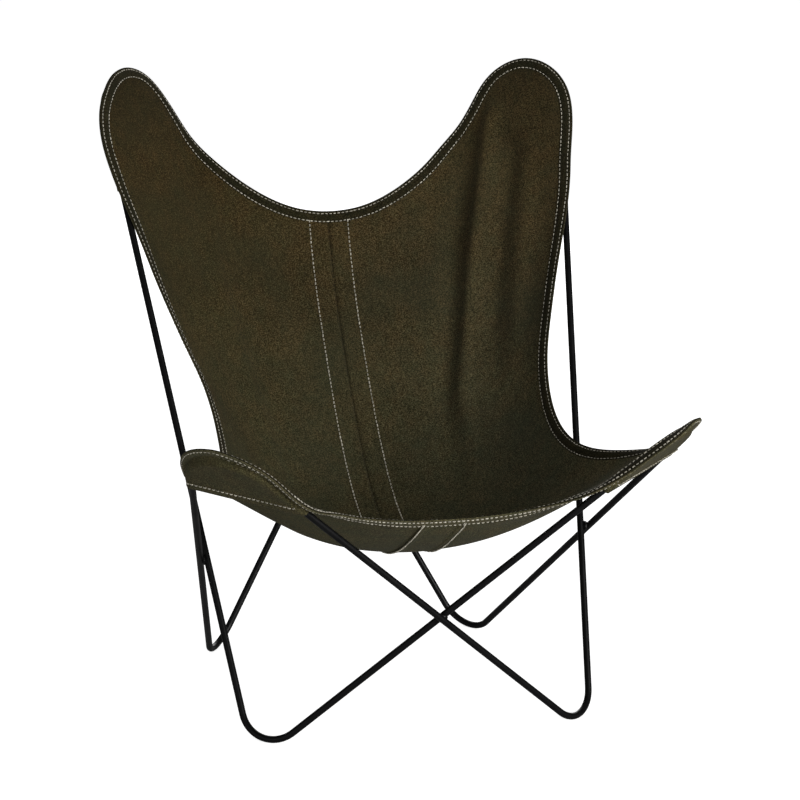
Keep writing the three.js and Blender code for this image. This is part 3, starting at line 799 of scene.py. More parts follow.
def woven_cloth(name, dark, mid, light, tint, painted_shading=()):
    """Canvas of three yarn tones, with a tint that the dye drifts towards."""
    look, shader = new_finish(name)
    flat_place = look.node("ShaderNodeUVMap")
    flat_place.uv_map = "cloth"
    uv = flat_place.outputs["UV"]
    room = look.node("ShaderNodeTexCoord").outputs["Object"]
    warp = look.noise(look.stretched(room, (900.0, 900.0, 470.0)), 1.0, 2.0, 0.6)
    weft = look.noise(look.stretched(room, (430.0, 880.0, 880.0)), 1.0, 2.0, 0.6)
    fleck = look.noise(room, 600.0, 1.0, 0.5)
    grain = look.mixed(0.35, look.mixed(0.5, warp, weft), fleck)
    colour = look.ramp(grain, [(0.42, dark), (0.5, mid), (0.58, light)])
    snapped = look.node("ShaderNodeVectorMath", {0: room, 1: (crossing_size,) * 3})
    snapped.operation = "SNAP"
    crossing_tone = look.node("ShaderNodeTexWhiteNoise", {"Vector": snapped.outputs[0]}).outputs["Value"]
    drift = look.noise(room, 9.0, 3.0, 0.55)
    patch = look.noise(look.stretched(room, (42.0, 42.0, 30.0)), 1.0, 3.0, 0.6)
    streak = look.noise(look.stretched(room, (230.0, 60.0, 26.0)), 1.0, 2.0, 0.5)
    for tone, stops in (
        (crossing_tone, [(0.0, (0.72, 0.74, 0.76)), (1.0, (1.3, 1.27, 1.24))]),
        (drift, [(0.35, (0.86, 0.86, 0.86)), (0.65, (1.12, 1.1, 1.08))]),
        (patch, [(0.36, (0.9, 0.97, 0.97)), (0.64, (1.08, 1.02, 1.0))]),
        (streak, [(0.36, (0.93, 0.93, 0.93)), (0.64, (1.07, 1.07, 1.07))]),
    ):
        colour = look.toned(colour, tone, stops)
    dye = look.noise(room, 7.0, 3.0, 0.55)
    dye_share = look.ramp(dye, [(0.4, (0.0, 0.0, 0.0)), (0.62, (0.36, 0.36, 0.36))])
    colour = look.mixed(dye_share, colour, (*tint, 1.0))
    # Painted shade in the groove of the middle seam
    colour = look.mixed(seam_painted_shade(look, uv), colour, (*dark, 1.0))
    # Painted shade and light by height and by side, where they are given
    if painted_shading:
        colour = painted_light_and_shade(look, room, colour, *painted_shading)
    shader.inputs["Roughness"].default_value = 0.93
    shader.inputs["Specular IOR Level"].default_value = 0.06
    shader.inputs["Sheen Weight"].default_value = 0.03
    shader.inputs["Sheen Roughness"].default_value = 0.5
    along_cloth = look.stretched(uv, (threads_per_metre, threads_per_metre, 1.0))
    wave_inputs = {"Vector": along_cloth, "Scale": 1.0, "Distortion": 0.6, "Detail": 1.0}
    threads = []
    for direction in ("X", "Y"):
        wave = look.node("ShaderNodeTexWave", wave_inputs)
        wave.bands_direction = direction
        threads.append(wave.outputs["Fac"])
    weave = look.mixed(0.5, *threads)
    height = look.mixed(0.2, weave, grain)
    look.feed(shader, {"Base Color": colour, "Normal": look.bump(height, 0.35, 0.00025)})
    return look.owner


# %% The faces of the canvas and of the binding
# Painted shade and light on the inner face: darker towards the high tips, and paler and greyer low down and
# towards the right
painted_shading_by_height = [(0.3, (0.95, 1.16, 1.4)), (0.42, (0.9, 1.04, 1.18)), (0.52, (0.84, 0.92, 1.0)),
             (0.74, (0.8, 0.8, 0.77)), (0.92, (0.48, 0.47, 0.43))]
painted_shading_by_side = [(0.25, (0.93, 0.9, 0.84)), (0.5, (1.0, 0.98, 1.0)), (0.7, (1.17, 1.2, 1.34))]
inner_face = woven_cloth("olive canvas inner face with painted shading", (0.021, 0.0145, 0.0048), (0.056, 0.0398, 0.0145),
                         (0.118, 0.087, 0.037), (0.038, 0.039, 0.019), painted_shading=(painted_shading_by_height, painted_shading_by_side))
# The outer faces are paler copies of the canvas: painted light for the light that the lamps and the floor
# throw on them
outer_face_painted_light = woven_cloth("olive canvas outer face painted light", (0.02, 0.0175, 0.0062), (0.053, 0.047, 0.0186),
                         (0.107, 0.096, 0.041), (0.047, 0.046, 0.0205))
# The pocket's outer face is paler still: more painted light
pocket_outer_painted_light = woven_cloth("olive pocket outer face painted light", (0.022, 0.019, 0.0078), (0.058, 0.05, 0.0222),
                           (0.112, 0.098, 0.047), (0.052, 0.049, 0.0245))
# The binding is one cloth: its inner face is painted dark as shade, and its outer face painted paler as light
binding_inner_painted_shade = woven_cloth("olive binding inner face painted shade", (0.009, 0.0076, 0.0034), (0.02, 0.0174, 0.0078),
                            (0.038, 0.033, 0.0158), (0.0188, 0.0182, 0.0092))
binding_outer_painted_light = woven_cloth("olive binding outer face painted light", (0.034, 0.0305, 0.0152), (0.076, 0.068, 0.035),
                            (0.135, 0.121, 0.066), (0.069, 0.066, 0.038))

# %% [markdown]
# ## Two panels, joined down the middle
#
# The sling is cut as a left and a right half, because a bolt of canvas is not
# wide enough and a flat cut can't take the hollow of the seat. Each half is a
# thin closed sheet, a little over a millimetre thick, that runs on under the
# binding. At the joint the cloth dips into the seam and rises over the seam
# allowance that is pressed open behind it.

# %% Panels with the seam's relief
seam_dip, seam_width = 0.0005, 0.0019
strip_rise, strip_slope = 0.0005, 0.006
seam_gap = 0.00012
canvas_half = 0.0006
hem_steps = 3
cut_edge = hem_width - 0.001


def seam_relief(distance):
    """Height of the cloth over the seam and the strip, by distance from the seam."""
    dip = -seam_dip * np.exp(-((distance / seam_width) ** 2))
    rise = strip_rise * smooth_step((strip_half + strip_slope / 2 - distance) / strip_slope)
    return dip + rise


def face_vectors(points, faces):
    """A vector square to each face and twice as long as its area. A triangle repeats a corner."""
    corner = points[np.array([(*face, face[-1])[:4] for face in faces])]
    return np.cross(corner[:, 2] - corner[:, 0], corner[:, 3] - corner[:, 1])


def make_sheet(name, points, normals, faces, places, above, below, looks, stands_for):
    """A piece of canvas round a surface, with its places in the flat cloth."""
    solid, shell, sides = sheet_between(points, normals, faces, above, below)
    return make_piece(name, solid, shell, looks, "olive_canvas", [stands_for],
                      uv=np.vstack([places, places]), face_slots=sides)


# %% The two panels
def panel(side):
    """Points, normals, faces and cloth coordinates of one half of the sling."""
    middle = fine_columns // 2
    first, last = (0, middle) if side < 0 else (middle, fine_columns)
    number = {}
    points, point_normals, coordinates = [], [], []

    def use(key, p, point, normal, place):
        if key not in number:
            number[key] = len(points)
            points.append(point + np.array([side * seam_gap, 0, 0]) if p == middle else point)
            point_normals.append(normal)
            coordinates.append(place)
        return number[key]

    for p in range(first, last + 1):
        for q in range(fine_rows + 1):
            relief = normals[p, q] * seam_relief(abs(cloth[p, q, 0]))
            use((p, q), p, skin[p, q] + relief, normals[p, q], cloth[p, q])
    faces = [(a, d, c, b) for a, b, c, d in grid_faces(last + 1 - first, fine_rows + 1)]
    for k in range(len(rim_index)):
        n = (k + 1) % len(rim_index)
        if not (first <= min(rim_p[k], rim_p[n]) and max(rim_p[k], rim_p[n]) <= last):
            continue
        ring = [number[rim_index[k]], number[rim_index[n]]]
        for m in range(1, hem_steps + 1):
            out = cut_edge * m / hem_steps
            for which in (k, n):
                start, place = skin[rim_index[which]], cloth[rim_index[which]]
                outwards = place - cloth[middle, fine_rows // 2]
                place = place + outwards / np.linalg.norm(outwards) * out
                ring.append(use(("hem", which, m), rim_p[which], start + rim_out[which] * out,
                                rim_normal[which], place))
        faces += [(ring[m + 1], ring[m], ring[m + 2], ring[m + 3]) for m in range(0, 2 * hem_steps, 2)]
    return np.array(points), np.array(point_normals), faces, np.array(coordinates)


for side, name in ((-1, "left"), (1, "right")):
    points, point_normals, faces, places = panel(side)
    piece = make_sheet(f"canvas_{name}", points, point_normals, faces, places, canvas_half, canvas_half,
                       [inner_face, outer_face_painted_light], f"seat_panel_{name}")

# %% [markdown]
# ## The strip under the seam
#
# From below the middle seam is covered by a strip of the same canvas, 64 mm
# wide with its edges turned under. It is the strip's two edge rows that show as
# pale lines on the seat.

# %% Seam strip
strip_thickness, strip_turned, strip_turn_width = 0.0010, 0.0010, 0.009
strip_gap = 0.0001
edge_round, edge_thinner, turn_slope = 0.0008, 0.35, 0.002
over_seam = 0.005
uv_apart = 0.5  # keeps a piece's places in the flat cloth off the middle seam


def column_at(side_distance):
    """The line on the skin at a signed distance from the middle seam, for every row."""
    line = np.empty((fine_rows + 1, 3))
    line_normals = np.empty((fine_rows + 1, 3))
    near = np.abs(np.arange(fine_columns + 1) - fine_columns // 2) < 3 * finer
    for q in range(fine_rows + 1):
        places = cloth[near, q, 0]
        order = np.argsort(places)
        line[q] = taken(side_distance, places[order], skin[near, q][order])
        line_normals[q] = taken(side_distance, places[order], normals[near, q][order])
    return line, unit(line_normals)


strip_sides = np.array([0.15, 0.4, 0.66, 0.7, 0.73, 0.76, 0.85, 0.93, 0.975, 0.99, 1]) * strip_half
strip_places = np.concatenate([-strip_sides[::-1], [0], strip_sides])
wide = fine_rows + 1
points, point_normals, below, places = [], [], [], []
for place in strip_places:
    line, line_normals = column_at(place)
    relief = seam_relief(abs(place)) if abs(place) > over_seam else strip_rise
    from_edge = strip_half - abs(place)
    edge = 1 - smooth_step(from_edge / edge_round)
    turned = strip_turned * smooth_step((strip_turn_width + turn_slope / 2 - from_edge) / turn_slope)
    points.append(line + line_normals * relief)
    point_normals.append(line_normals)
    thickness = (strip_thickness + turned) * (1 - edge_thinner * edge)
    below.append(np.full(wide, canvas_half + strip_gap + thickness))
    places.append(np.stack([np.full(wide, place + uv_apart), cloth[fine_columns // 2, :, 1]], -1))
faces = [(a, d, c, b) for a, b, c, d in grid_faces(len(strip_places), wide)]
strip = make_sheet("seam_backing", np.vstack(points), np.vstack(point_normals), faces, np.vstack(places),
                   -(canvas_half + strip_gap), np.concatenate(below), [inner_face, outer_face_painted_light], "seam_strip")
strip_length = float(walked(column_at(0.0)[0])[-1])
print("  strip length:", round(strip_length, 3), "m")

# %% [markdown]
# ## The pockets
#
# Behind each tip a hood of canvas is sewn to the sling round the outside of the
# rod. It is an envelope: from the hem it wraps over the bent rod, then spans
# flat from one leg of the bend to the other, and ends in a turned mouth that the
# two legs come out of. The mouth is folded over and stitched, so the last 18 mm
# are twice as thick.

# %% Hood surfaces
pocket_thickness = 0.0011
mouth_fold, mouth_rise, fold_slope = 0.018, 0.0009, 0.0016
wrap_radius = rod_radius + 0.0014
hood_clearance, hem_clearance = 0.0012, 0.0001
latest_touch = 1.2  # radians from level at which the cloth meets the rod's round at the latest
hood_steps, hem_points, wrap_steps, span_steps = 120, 4, 7, 20
small_step, wrap_passes = 0.001, 2


def rim_number(lobe, share):
    """Fractional place in the rim list of a share round the tip of a lobe."""
    cells = share * pocket_reach
    column, row = (0, -cells) if cells < 0 else (cells, 0)
    p = lobe.column(0) * finer + (1 if lobe.column(0) == 0 else -1) * column
    q = lobe.row(0) * finer + (1 if lobe.row(0) == 0 else -1) * row
    if q <= 0 and p < fine_columns:
        return p
    if p >= fine_columns and q < fine_rows:
        return fine_columns + q
    if q >= fine_rows and p > 0:
        return fine_columns + fine_rows + (fine_columns - p)
    return 2 * fine_columns + fine_rows + (fine_rows - q)


def along_rim(values, place):
    """Values at a fractional place of the rim list."""
    k = int(math.floor(place))
    share = place - k
    count = len(values)
    return values[k % count] * (1 - share) + values[(k + 1) % count] * share


# %% The surface of a hood
def hood(lobe):
    """Points of a hood from its mouth to its tip, their places in the flat cloth, and the faces."""
    rim_depth = canvas_half + pocket_thickness / 2 + hem_clearance
    rows_of, flats_of = [], []
    for share in np.linspace(-1, 1, hood_steps + 1):
        k = rim_number(lobe, share)
        here, out, up = (along_rim(v, k) for v in (rim_here, rim_out, rim_normal))
        inner_end = max(0.0, wrap_radius + hood_clearance - along_rim(rod_gap, k))
        distances = np.linspace(cut_edge, inner_end, hem_points)
        hem = [here + out * distance - up * rim_depth for distance in distances]
        # From the hem the cloth runs straight to where it first touches the round of the rod
        rod = lobe.lift(lobe.outline(share, 0.0), canvas_lift)
        outwards = unit(lobe.lift(lobe.outline(share, small_step)) - lobe.lift(lobe.outline(share, 0.0)))
        beside, below = (hem[-1] - rod) @ outwards, -(hem[-1] - rod) @ lobe.normal
        touch = math.atan2(below, beside) + math.acos(min(1.0, wrap_radius / math.hypot(beside, below)))
        angles = np.linspace(min(max(touch, 0.0), latest_touch), math.pi / 2, wrap_steps + 1)
        wrap = [lobe.lift(lobe.outline(share, wrap_radius * math.cos(a)),
                          canvas_lift + wrap_radius * math.sin(a)) for a in angles]
        row = np.array(hem + wrap)
        for _ in range(wrap_passes):
            row[2:-2] = (row[1:-3] + 2 * row[2:-2] + row[3:-1]) / 4
        unrolled = wrap_radius * (math.pi / 2 - angles)
        beyond = unrolled[0] + np.linalg.norm(hem[-1] - wrap[0]) + distances - inner_end
        rows_of.append(list(row))
        flats_of.append([lobe.outline(share, offset) for offset in (*beyond, *unrolled)])
    half = hood_steps // 2
    spans = np.linspace(0, 1, span_steps + 1)[1:-1]
    grids = []
    for lines in (rows_of, flats_of):
        grids.append(np.array([
            lines[k] + [lines[k][-1] * (1 - s) + lines[hood_steps - k][-1] * s for s in spans]
            + lines[hood_steps - k][::-1] for k in range(half + 1)]))
    grid, flats = grids
    return grid, flats.reshape(-1, 2), grid_faces(half + 1, grid.shape[1])


# %% Close the hoods and make them
def weld_close(points, faces, places, reach=1e-6):
    """Join points that fall together, and drop faces that vanish."""
    key = np.round(points / reach).astype(np.int64)
    _, first, number = np.unique(key, axis=0, return_index=True, return_inverse=True)
    number = number.ravel()
    kept = []
    for face in faces:
        ring = []
        for k in face:
            if not ring or number[k] != ring[-1]:
                ring.append(int(number[k]))
        if len(ring) > 1 and ring[0] == ring[-1]:
            ring.pop()
        if len(set(ring)) > 2 and len(set(ring)) == len(ring):
            kept.append(tuple(ring))
    return points[first], kept, places[first]


def ring_normals(points, faces):
    """The way off the surface at each point, from the faces round it."""
    normals = np.zeros_like(points)
    for face, across in zip(faces, face_vectors(points, faces)):
        normals[list(face)] += across
    return unit(normals)


def walked_in(grid):
    """Distance of each row of a hood from its mouth, measured down its middle."""
    return walked(grid[:, grid.shape[1] // 2])


hoods = {}
half_sheet = pocket_thickness / 2
for place_name, lobe in lobes.items():
    grid, flats, faces = hood(lobe)
    hoods[place_name] = grid
    folded_over = mouth_rise * smooth_step((mouth_fold + fold_slope / 2 - walked_in(grid)) / fold_slope)
    places = np.stack([flats[:, 1] + 2 * uv_apart, flats[:, 0], np.repeat(folded_over, grid.shape[1])], -1)
    points, faces, places = weld_close(grid.reshape(-1, 3), faces, places)
    folded_over, places = places[:, 2], places[:, :2]
    hood_normals = ring_normals(points, faces)
    if np.mean(hood_normals @ lobe.normal) > 0:
        faces = [tuple(reversed(f)) for f in faces]
        hood_normals = -hood_normals
    piece = make_sheet(f"hood_{place_name}", points, hood_normals, faces, places, half_sheet + folded_over,
                       half_sheet, [pocket_outer_painted_light, inner_face], f"pocket_{place_name}")

# %% [markdown]
# ## The binding
#
# A band of canvas is folded over the raw edge all the way round and sewn through
# with two rows of stitches. The fold makes a soft round edge. The stitches pull
# the band down, so between the rows it stands up a little and puckers with the
# pitch of the stitches. The band is one folded sheet: its outer skin is swept
# round the rim and given the cloth's thickness inwards. Behind a tip its lower
# half is narrower, since the rod and the hood take the room there.

# %% Section of the band
stitch_pitch = 0.0066
fold_edge, band_width = 0.0141, 0.018
inner_edge = fold_edge - band_width
row_places = (0.0015, band_width - 0.0042)
band_base, row_dip, band_padding, pucker_rise = 0.0011, 0.0005, 0.0009, 0.0002
dip_width, inner_round, fold_round = 0.0005, 0.0006, 0.0013
thinnest = 0.0001
band_cloth = 0.0009


def rim_resampled(step):
    """The rim at even steps: points, outwards, up, how far inside a pocket, and the gap to the rod."""
    count = int(round(rim_length[-1] / step))
    places = np.linspace(0, rim_length[-1], count, endpoint=False)

    def take(values):
        return taken(places, rim_length, np.vstack([values, values[:1]]))

    return (take(rim_here), unit(take(rim_out)), unit(take(rim_normal)), take(in_pocket[:, None])[:, 0],
            take(rod_gap[:, None])[:, 0], places)


def band_height(x):
    """Height of the band over the cloth at a distance from its inner edge."""
    dips = sum(math.exp(-(((x - row) / dip_width) ** 2)) for row in row_places)
    between = (x - row_places[0]) / (row_places[1] - row_places[0])
    padding = band_padding * math.sin(math.pi * min(max(between, 0.0), 1.0)) ** 0.7
    ends = math.sqrt(min(1.0, (x + thinnest) / inner_round, (band_width - x + thinnest) / fold_round))
    return (band_base - row_dip * dips + padding) * ends, pucker_rise * dips


here, out, up, pocket, gap, rim_places = rim_resampled(stitch_pitch / 4)
under_start = inner_edge + pocket * (np.maximum(0.0, wrap_radius + hood_clearance - gap) - inner_edge)


def under_the_hem(x):
    """Distance outwards of a place on the back of the band, which is narrower over a pocket."""
    return fold_edge - (band_width - x) * (fold_edge - under_start) / band_width


# %% Sweep the band round the rim
# Where the band's section has points: close together at its rows of stitches and its edges
row_spots = [row + d for row in row_places for d in (-0.0007, -0.0003, 0, 0.0003, 0.0007)]
plain_spots = [0.0, 0.0004, 0.0035, 0.0055, 0.0078, 0.01, 0.0122, 0.0158, 0.0168, 0.0174, 0.0178]
band_spots = sorted(plain_spots + row_spots)


def band():
    """The outer skin of the folded band, from its upper inner edge round the fold to the lower one."""
    pucker = 0.5 - 0.5 * np.cos(2 * math.pi * rim_places / stitch_pitch)
    columns_of, rises = [], []
    for x in band_spots:
        height, puckered = band_height(x)
        depth = canvas_half + height + puckered * pucker
        columns_of.append(here + out * (inner_edge + x) + up * depth[:, None])
        rises.append(height)
    columns_of.append(here + out * fold_edge - up * (pocket * pocket_thickness / 2)[:, None])
    rises.append(band_cloth + thinnest)
    for x in reversed(band_spots):
        height, puckered = band_height(x)
        depth = canvas_half + height + puckered * pucker + pocket * pocket_thickness
        columns_of.append(here + out * under_the_hem(x)[:, None] - up * depth[:, None])
        rises.append(height)
    return np.array(columns_of).transpose(1, 0, 2), np.array(rises)


# %% Make the folded sheet
grid, rises = band()
count, wide = grid.shape[:2]
faces = grid_faces(count, wide, round_rows=True)
along_band = np.roll(grid, -1, 0) - np.roll(grid, 1, 0)
band_normals = unit(np.cross(along_band, np.gradient(grid, axis=1)))
upper_spot = 4
if np.mean(np.sum(band_normals[:, upper_spot] * up, axis=1)) < 0:
    band_normals = -band_normals
across = walked(grid[0])
uv = np.stack(np.broadcast_arrays(across[None, :] + 2 * uv_apart, rim_places[:, None]), -1).reshape(-1, 2)
points = grid.reshape(-1, 3)
inside = np.tile(np.clip(rises - thinnest, 2 * thinnest, band_cloth), count)
solid, shell, _ = sheet_between(points, band_normals.reshape(-1, 3), faces, 0.0, inside)
# The under half of the band takes the pale painted-light copy, and the rest the dark painted-shade copy
upper = (np.array(faces)[:, 0] % wide >= wide // 2).astype(int)
sides = np.concatenate([upper, upper, np.zeros(len(shell) - 2 * len(upper), int)])
binding = make_piece("rim_binding", solid, shell, [binding_inner_painted_shade, binding_outer_painted_light], "olive_binding",
                     ["edge_binding"], uv=np.vstack([uv, uv]), face_slots=sides)

# %% [markdown]
# ## Stitches
#
# The thread is a thick cream polyester that stands out on the dark cloth, so
# every stitch is modelled: a short arch of thread that dives into the cloth at
# both ends. One arch is made once and placed along each row, turned to follow
# the cloth.

# %% Cream thread
look, shader = new_finish("cream thread")
thread = look.owner
place = look.node("ShaderNodeTexCoord").outputs["Object"]
twist = look.noise(place, 700.0, 2.0)
cream = look.ramp(twist, [(0.3, (0.42, 0.385, 0.3)), (0.7, (0.74, 0.69, 0.57))])
grime = look.noise(place, 90.0, 4.0, 0.65)
colour = look.toned(cream, grime, [(0.38, (0.52, 0.52, 0.5)), (0.62, (1.15, 1.15, 1.15))])
look.feed(shader, {"Base Color": colour, "Normal": look.bump(twist, 0.4, 0.0002)})
shader.inputs["Roughness"].default_value = 0.7
shader.inputs["Sheen Weight"].default_value = 0.2


# %% One stitch, many times
def joined(meshes):
    """Many small meshes as one."""
    points, faces, base = [], [], 0
    for p, f in meshes:
        points.append(p)
        faces.extend(tuple(k + base for k in face) for face in f)
        base += len(p)
    return np.vstack(points), faces


thread_radius = 0.00076
stitch_length = 0.0058
chance = np.random.default_rng(11)
flattened = 0.8
thread_rings, thread_sides = 6, 6
thread_shares = np.linspace(-0.5, 0.5, thread_rings)
from_middle = 2 * np.abs(thread_shares)
thread_turn = 2 * math.pi * np.arange(thread_sides) / thread_sides
stitch_faces = [(a, d, c, b) for a, b, c, d in grid_faces(thread_rings, thread_sides, round_wide=True)]
stitch_faces.append(tuple(range(thread_sides)))
stitch_faces.append(tuple(reversed(range((thread_rings - 1) * thread_sides, thread_rings * thread_sides))))


def stitch_mesh(line, ups, pitch, length=stitch_length, lift=0.0, closed=True, radius=thread_radius,
                fuller=0.0):
    """Arches of thread along a line of points with their normals."""
    fuller = np.broadcast_to(fuller, len(line))
    if closed:
        line, ups = np.vstack([line, line[:1]]), np.vstack([ups, ups[:1]])
        fuller = np.append(fuller, fuller[0])
    walked_to = walked(line)
    count = max(1, int(round(walked_to[-1] / pitch)))
    starts = (np.arange(count) + 0.5) * walked_to[-1] / count
    # No two stitches are alike: their ends sway, and they differ in thickness, length and depth
    sway = chance.normal(0, 0.00016, (count, 2))
    thick = chance.uniform(0.8, 1.15, count) * (1 + np.interp(starts, walked_to, fuller))
    long = length * chance.uniform(0.8, 1.12, count)
    sunk = chance.uniform(0.0, 0.00035, count)
    arch = radius * (1.0 - 1.9 * from_middle**4) + lift
    girth = radius * np.sqrt(np.clip(1.06 - from_middle**6, 0.06, 1))
    stitches = []
    for start, ends, fullness, extent, depth in zip(starts, sway, thick, long, sunk):
        at = start + thread_shares * extent
        centre, up = taken(at, walked_to, line), unit(taken(at, walked_to, ups))
        sideways = unit(np.cross(unit(centre[-1] - centre[0]), up))
        centre = centre + sideways * np.linspace(*ends, thread_rings)[:, None] + up * (arch - depth)[:, None]
        wide = (girth * fullness)[:, None, None]
        round_it = (sideways[:, None] * np.cos(thread_turn)[:, None]
                    + up[:, None] * np.sin(thread_turn)[:, None] * flattened)
        stitches.append(((centre[:, None] + round_it * wide).reshape(-1, 3), stitch_faces))
    return joined(stitches)


# %% Rows along the rim
# The front hem is the busiest one, and its thread lies fuller than elsewhere
front_fuller, fuller_passes = 0.7, 8
on_front = smoothed_round(((rim_q == 0) & (rim_p > 0)).astype(float), fuller_passes)
fuller = front_fuller * np.interp(rim_places, rim_length, np.append(on_front, on_front[0]))
top_rows, under_rows = [], []
for x in row_places:
    height = canvas_half + band_height(x)[0]
    top_rows.append(stitch_mesh(here + out * (inner_edge + x) + up * height, up, stitch_pitch, fuller=fuller))
    depth = height + pocket * pocket_thickness
    under_row = here + out * under_the_hem(x)[:, None] - up * depth[:, None]
    under_rows.append(stitch_mesh(under_row, -up, stitch_pitch, fuller=fuller))
make_piece("rim_stitches_top", *joined(top_rows), [thread], "olive_binding")
make_piece("rim_stitches_under", *joined(under_rows), [thread], "olive_binding")

# %% Rows along the strip
strip_row_at = strip_half - 0.0015
strip_stitch = {"length": 0.0056, "lift": 0.0001, "closed": False, "radius": 0.001}
rise = seam_relief(strip_row_at)
strip_top, strip_under = [], []
for side in (-1, 1):
    line, line_normals = column_at(side * strip_row_at)
    on_top = line + line_normals * (canvas_half + rise)
    strip_top.append(stitch_mesh(on_top, line_normals, stitch_pitch, **strip_stitch))
    under = line - line_normals * (canvas_half + strip_gap + strip_thickness + strip_turned - rise)
    strip_under.append(stitch_mesh(under, -line_normals, stitch_pitch, **strip_stitch))
make_piece("strip_stitches_top", *joined(strip_top), [thread], "olive_canvas")
make_piece("strip_stitches_under", *joined(strip_under), [thread], "olive_canvas")

# %% [markdown]
# ## Mouth rows and back-stitched ends
#
# The mouth of each hood has its own row of stitches where its fold is sewn down.
# Where a row starts or ends the machine goes back and forth, which leaves a
# short, thick bunch of thread: at both ends of each mouth, and where the two
# rows of the strip meet the hem. The bunches lie under the hem. At the front
# some of them show on top of it as well.

# %% Mouth stitches
mouth_row_in, mouth_thread_radius = 0.0012, 0.00095
mouth_rows = []
for place_name, lobe in lobes.items():
    grid = hoods[place_name]
    k = np.interp(mouth_fold - mouth_row_in, walked_in(grid), np.arange(len(grid)))
    share, k = k - int(k), int(k)
    row = grid[k] * (1 - share) + grid[k + 1] * share
    ends = 4 + wrap_steps // 2
    inside = row[ends:-ends]
    tangent = unit(np.gradient(inside, axis=0))
    toward_tip = unit(grid[k + 2][ends:-ends] - grid[k][ends:-ends])
    row_up = unit(np.cross(tangent, toward_tip))
    if np.mean(row_up @ lobe.normal) > 0:
        row_up = -row_up
    on_fold = inside + row_up * (half_sheet + mouth_rise)
    mouth_rows.append(stitch_mesh(on_fold, row_up, stitch_pitch, closed=False, radius=mouth_thread_radius))
make_piece("mouth_stitches", *joined(mouth_rows), [thread], "olive_canvas")


# %% Back-stitched ends
bunch_count, bunch_step, short_half = 10, 0.003, 0.0022
bunch_stray, bunch_lean, layer_rise, short_stitch = 0.0009, 0.0006, 0.0003, 0.0042
strip_bunch_in = 0.0032


def bunch(middle, along, up):
    """Some stitches on top of each other, as a back-stitched end has."""
    sideways = np.cross(along, up)
    stitches = []
    for k in range(bunch_count):
        start = middle + along * (k % 3 - 1) * bunch_step + sideways * chance.normal(0, bunch_stray)
        lean = sideways * chance.normal(0, bunch_lean)
        line = np.array([start - along * short_half - lean, start + along * short_half + lean])
        ups, layer = np.array([up, up]), k // 3
        stitches.append(stitch_mesh(line, ups, 2 * short_half, short_stitch, layer_rise * layer, False))
    return stitches


def bunches_at(number, along_hem, on_top):
    """A bunch under the band at a place of the rim list, and one on top of it too where both show."""
    rim_place = np.interp(number, np.arange(len(rim_length)), rim_length)
    k = int(round(rim_place / (rim_length[-1] / len(here)))) % len(here)
    row_x = row_places[0] if along_hem else strip_bunch_in
    height = canvas_half + band_height(row_x)[0]
    direction = np.cross(up[k], out[k]) if along_hem else out[k]
    depth = height + pocket[k] * pocket_thickness
    found = bunch(here[k] + out[k] * (under_start[k] + row_x) - up[k] * depth, direction, -up[k])
    if on_top:
        found += bunch(here[k] + out[k] * (inner_edge + row_x) + up[k] * height, direction, up[k])
    return found


thread_ends = []
for place_name, lobe in lobes.items():
    for share in (-1, 1):
        thread_ends += bunches_at(rim_number(lobe, share), True, place_name.startswith("front") and share > 0)
for row_at in (0, fine_rows):
    for side in (-1, 1):
        column = np.interp(side * strip_row_at, cloth[:, row_at, 0], np.arange(fine_columns + 1))
        number = column if row_at == 0 else 2 * fine_columns + fine_rows - column
        thread_ends += bunches_at(number, False, row_at == 0)
make_piece("thread_ends", *joined(thread_ends), [thread], "olive_binding")

# %% [markdown]
# ## Floor, light and camera
#
# The chair stands in a plain white studio. The floor is a large pale plane. A
# wide soft lamp stands in front of it to the right. Weaker ones fill from the
# left, from above and from behind, and the room gives an even soft light. For the
# camera the room and the floor are plain white, and the black rods mirror a
# darker room and floor, so that they stay black; neither changes the light.

# %% Floor
floor_mesh = bpy.data.meshes.new("studio_floor")
reach = 60.0
corners = [(x * reach, y * reach, 0) for x, y in ((-1, -1), (1, -1), (1, 1), (-1, 1))]
floor_mesh.from_pydata(corners, [], [(0, 1, 2, 3)])
floor = bpy.data.objects.new("studio_floor", floor_mesh)
bpy.context.scene.collection.objects.link(floor)
look, shader = new_finish("pale floor")
shader.inputs["Roughness"].default_value = 0.9
shader.inputs["Specular IOR Level"].default_value = 0.1
spread = look.noise(look.node("ShaderNodeTexCoord").outputs["Object"], 3.0)
white = look.ramp(spread, [(0.3, (0.86, 0.86, 0.86)), (0.7, (0.88, 0.88, 0.88))])
rays = look.node("ShaderNodeLightPath").outputs
in_gloss = look.scaled(rays["Is Glossy Ray"], 0.6)
look.feed(shader, {"Base Color": look.mixed(in_gloss, white, (0.05, 0.05, 0.05, 1.0))})
seen_glow = look.scaled(rays["Is Camera Ray"], 0.8)
glow = look.node("ShaderNodeEmission", {"Color": (1, 1, 1, 1), "Strength": seen_glow})
both = look.node("ShaderNodeAddShader", {0: shader.outputs["BSDF"], 1: glow.outputs["Emission"]})
out_node = next(n for n in look.nodes if n.type == "OUTPUT_MATERIAL")
look.feed(out_node, {"Surface": both.outputs["Shader"]})
floor_mesh.materials.append(look.owner)

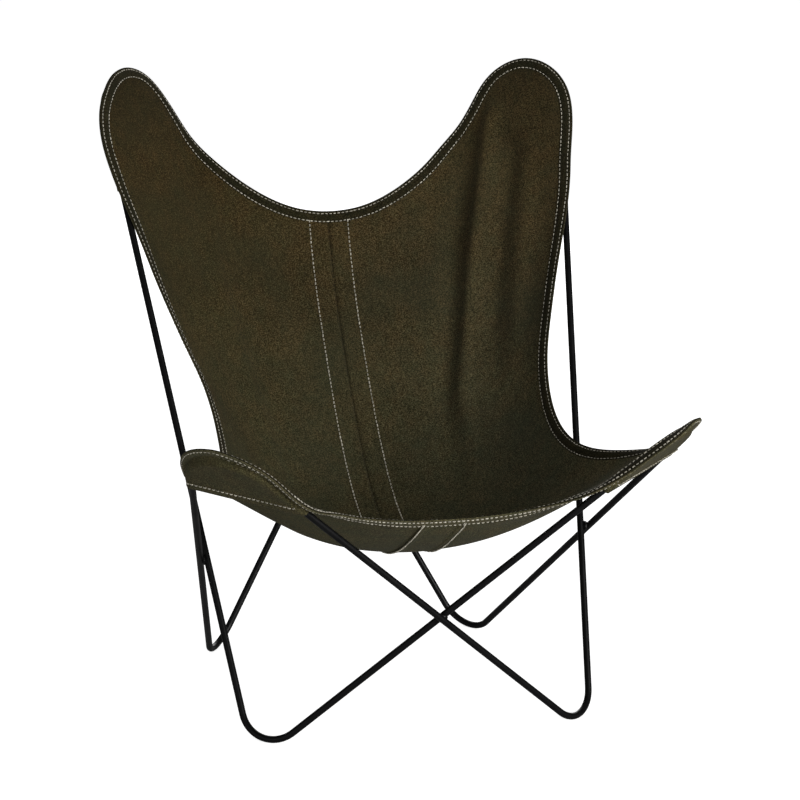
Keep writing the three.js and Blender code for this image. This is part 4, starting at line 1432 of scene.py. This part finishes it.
# %% Room and lamps
world = bpy.data.worlds.new("white room")
bpy.context.scene.world = world
look = Look(world)
rays = look.node("ShaderNodeLightPath").outputs
lit = look.scaled(rays["Is Glossy Ray"], -0.18, 0.24)
strength = look.scaled(rays["Is Camera Ray"], 0.76, lit)
room = look.node("ShaderNodeBackground", {"Color": (1, 1, 1, 1), "Strength": strength})
look.node("ShaderNodeOutputWorld", {"Surface": room.outputs[0]})


def soft_lamp(name, location, target, size, power):
    data = bpy.data.lights.new(name, "AREA")
    data.shape = "RECTANGLE"
    data.size, data.size_y = size
    data.energy = power
    lamp = bpy.data.objects.new(name, data)
    lamp.location = location
    lamp.rotation_euler = (Vector(target) - Vector(location)).to_track_quat("-Z", "Y").to_euler()
    bpy.context.scene.collection.objects.link(lamp)


soft_lamp("front lamp", (1.8, -3.9, 1.25), (0, 0, 0.5), (2.2, 1.6), 130.0)
soft_lamp("left fill", (-3.2, -2.6, 1.2), (0, 0, 0.45), (2.0, 2.0), 8.0)
soft_lamp("top lamp", (0.3, 0.3, 3.2), (0, 0, 0.4), (2.6, 2.6), 5.0)
soft_lamp("back lamp", (1.6, 3.8, 1.5), (0, 0, 0.5), (2.4, 1.8), 42.0)

# %% Camera at the photographed angle
yaw, pitch, roll = math.radians(16.098), math.radians(13.213), math.radians(0.498)
camera_place = Vector((-1.18434, -3.94548 + plan_shift, 1.45061))
focal_pixels, frame_width = 3045.3, 800.0
picture_centre = (397.0, 399.7)
sensor_width = 36.0
forward = np.array([math.sin(yaw) * math.cos(pitch), math.cos(yaw) * math.cos(pitch), -math.sin(pitch)])
level = np.array([math.cos(yaw), -math.sin(yaw), 0.0])
upright = np.cross(level, forward)
right_hand = math.cos(roll) * level + math.sin(roll) * upright
upward = math.cos(roll) * upright - math.sin(roll) * level
camera_data = bpy.data.cameras.new("camera")
camera_data.sensor_width = sensor_width
camera_data.lens = focal_pixels / frame_width * sensor_width
camera_data.shift_x = (frame_width / 2 - picture_centre[0]) / frame_width
camera_data.shift_y = (picture_centre[1] - frame_width / 2) / frame_width
camera_data.clip_start, camera_data.clip_end = 0.1, 200.0
camera = bpy.data.objects.new("camera", camera_data)
turn = Matrix((right_hand, upward, -forward)).transposed()
camera.matrix_world = Matrix.Translation(camera_place) @ turn.to_4x4()
bpy.context.scene.collection.objects.link(camera)
bpy.context.scene.camera = camera
bpy.context.scene.view_settings.view_transform = "Standard"
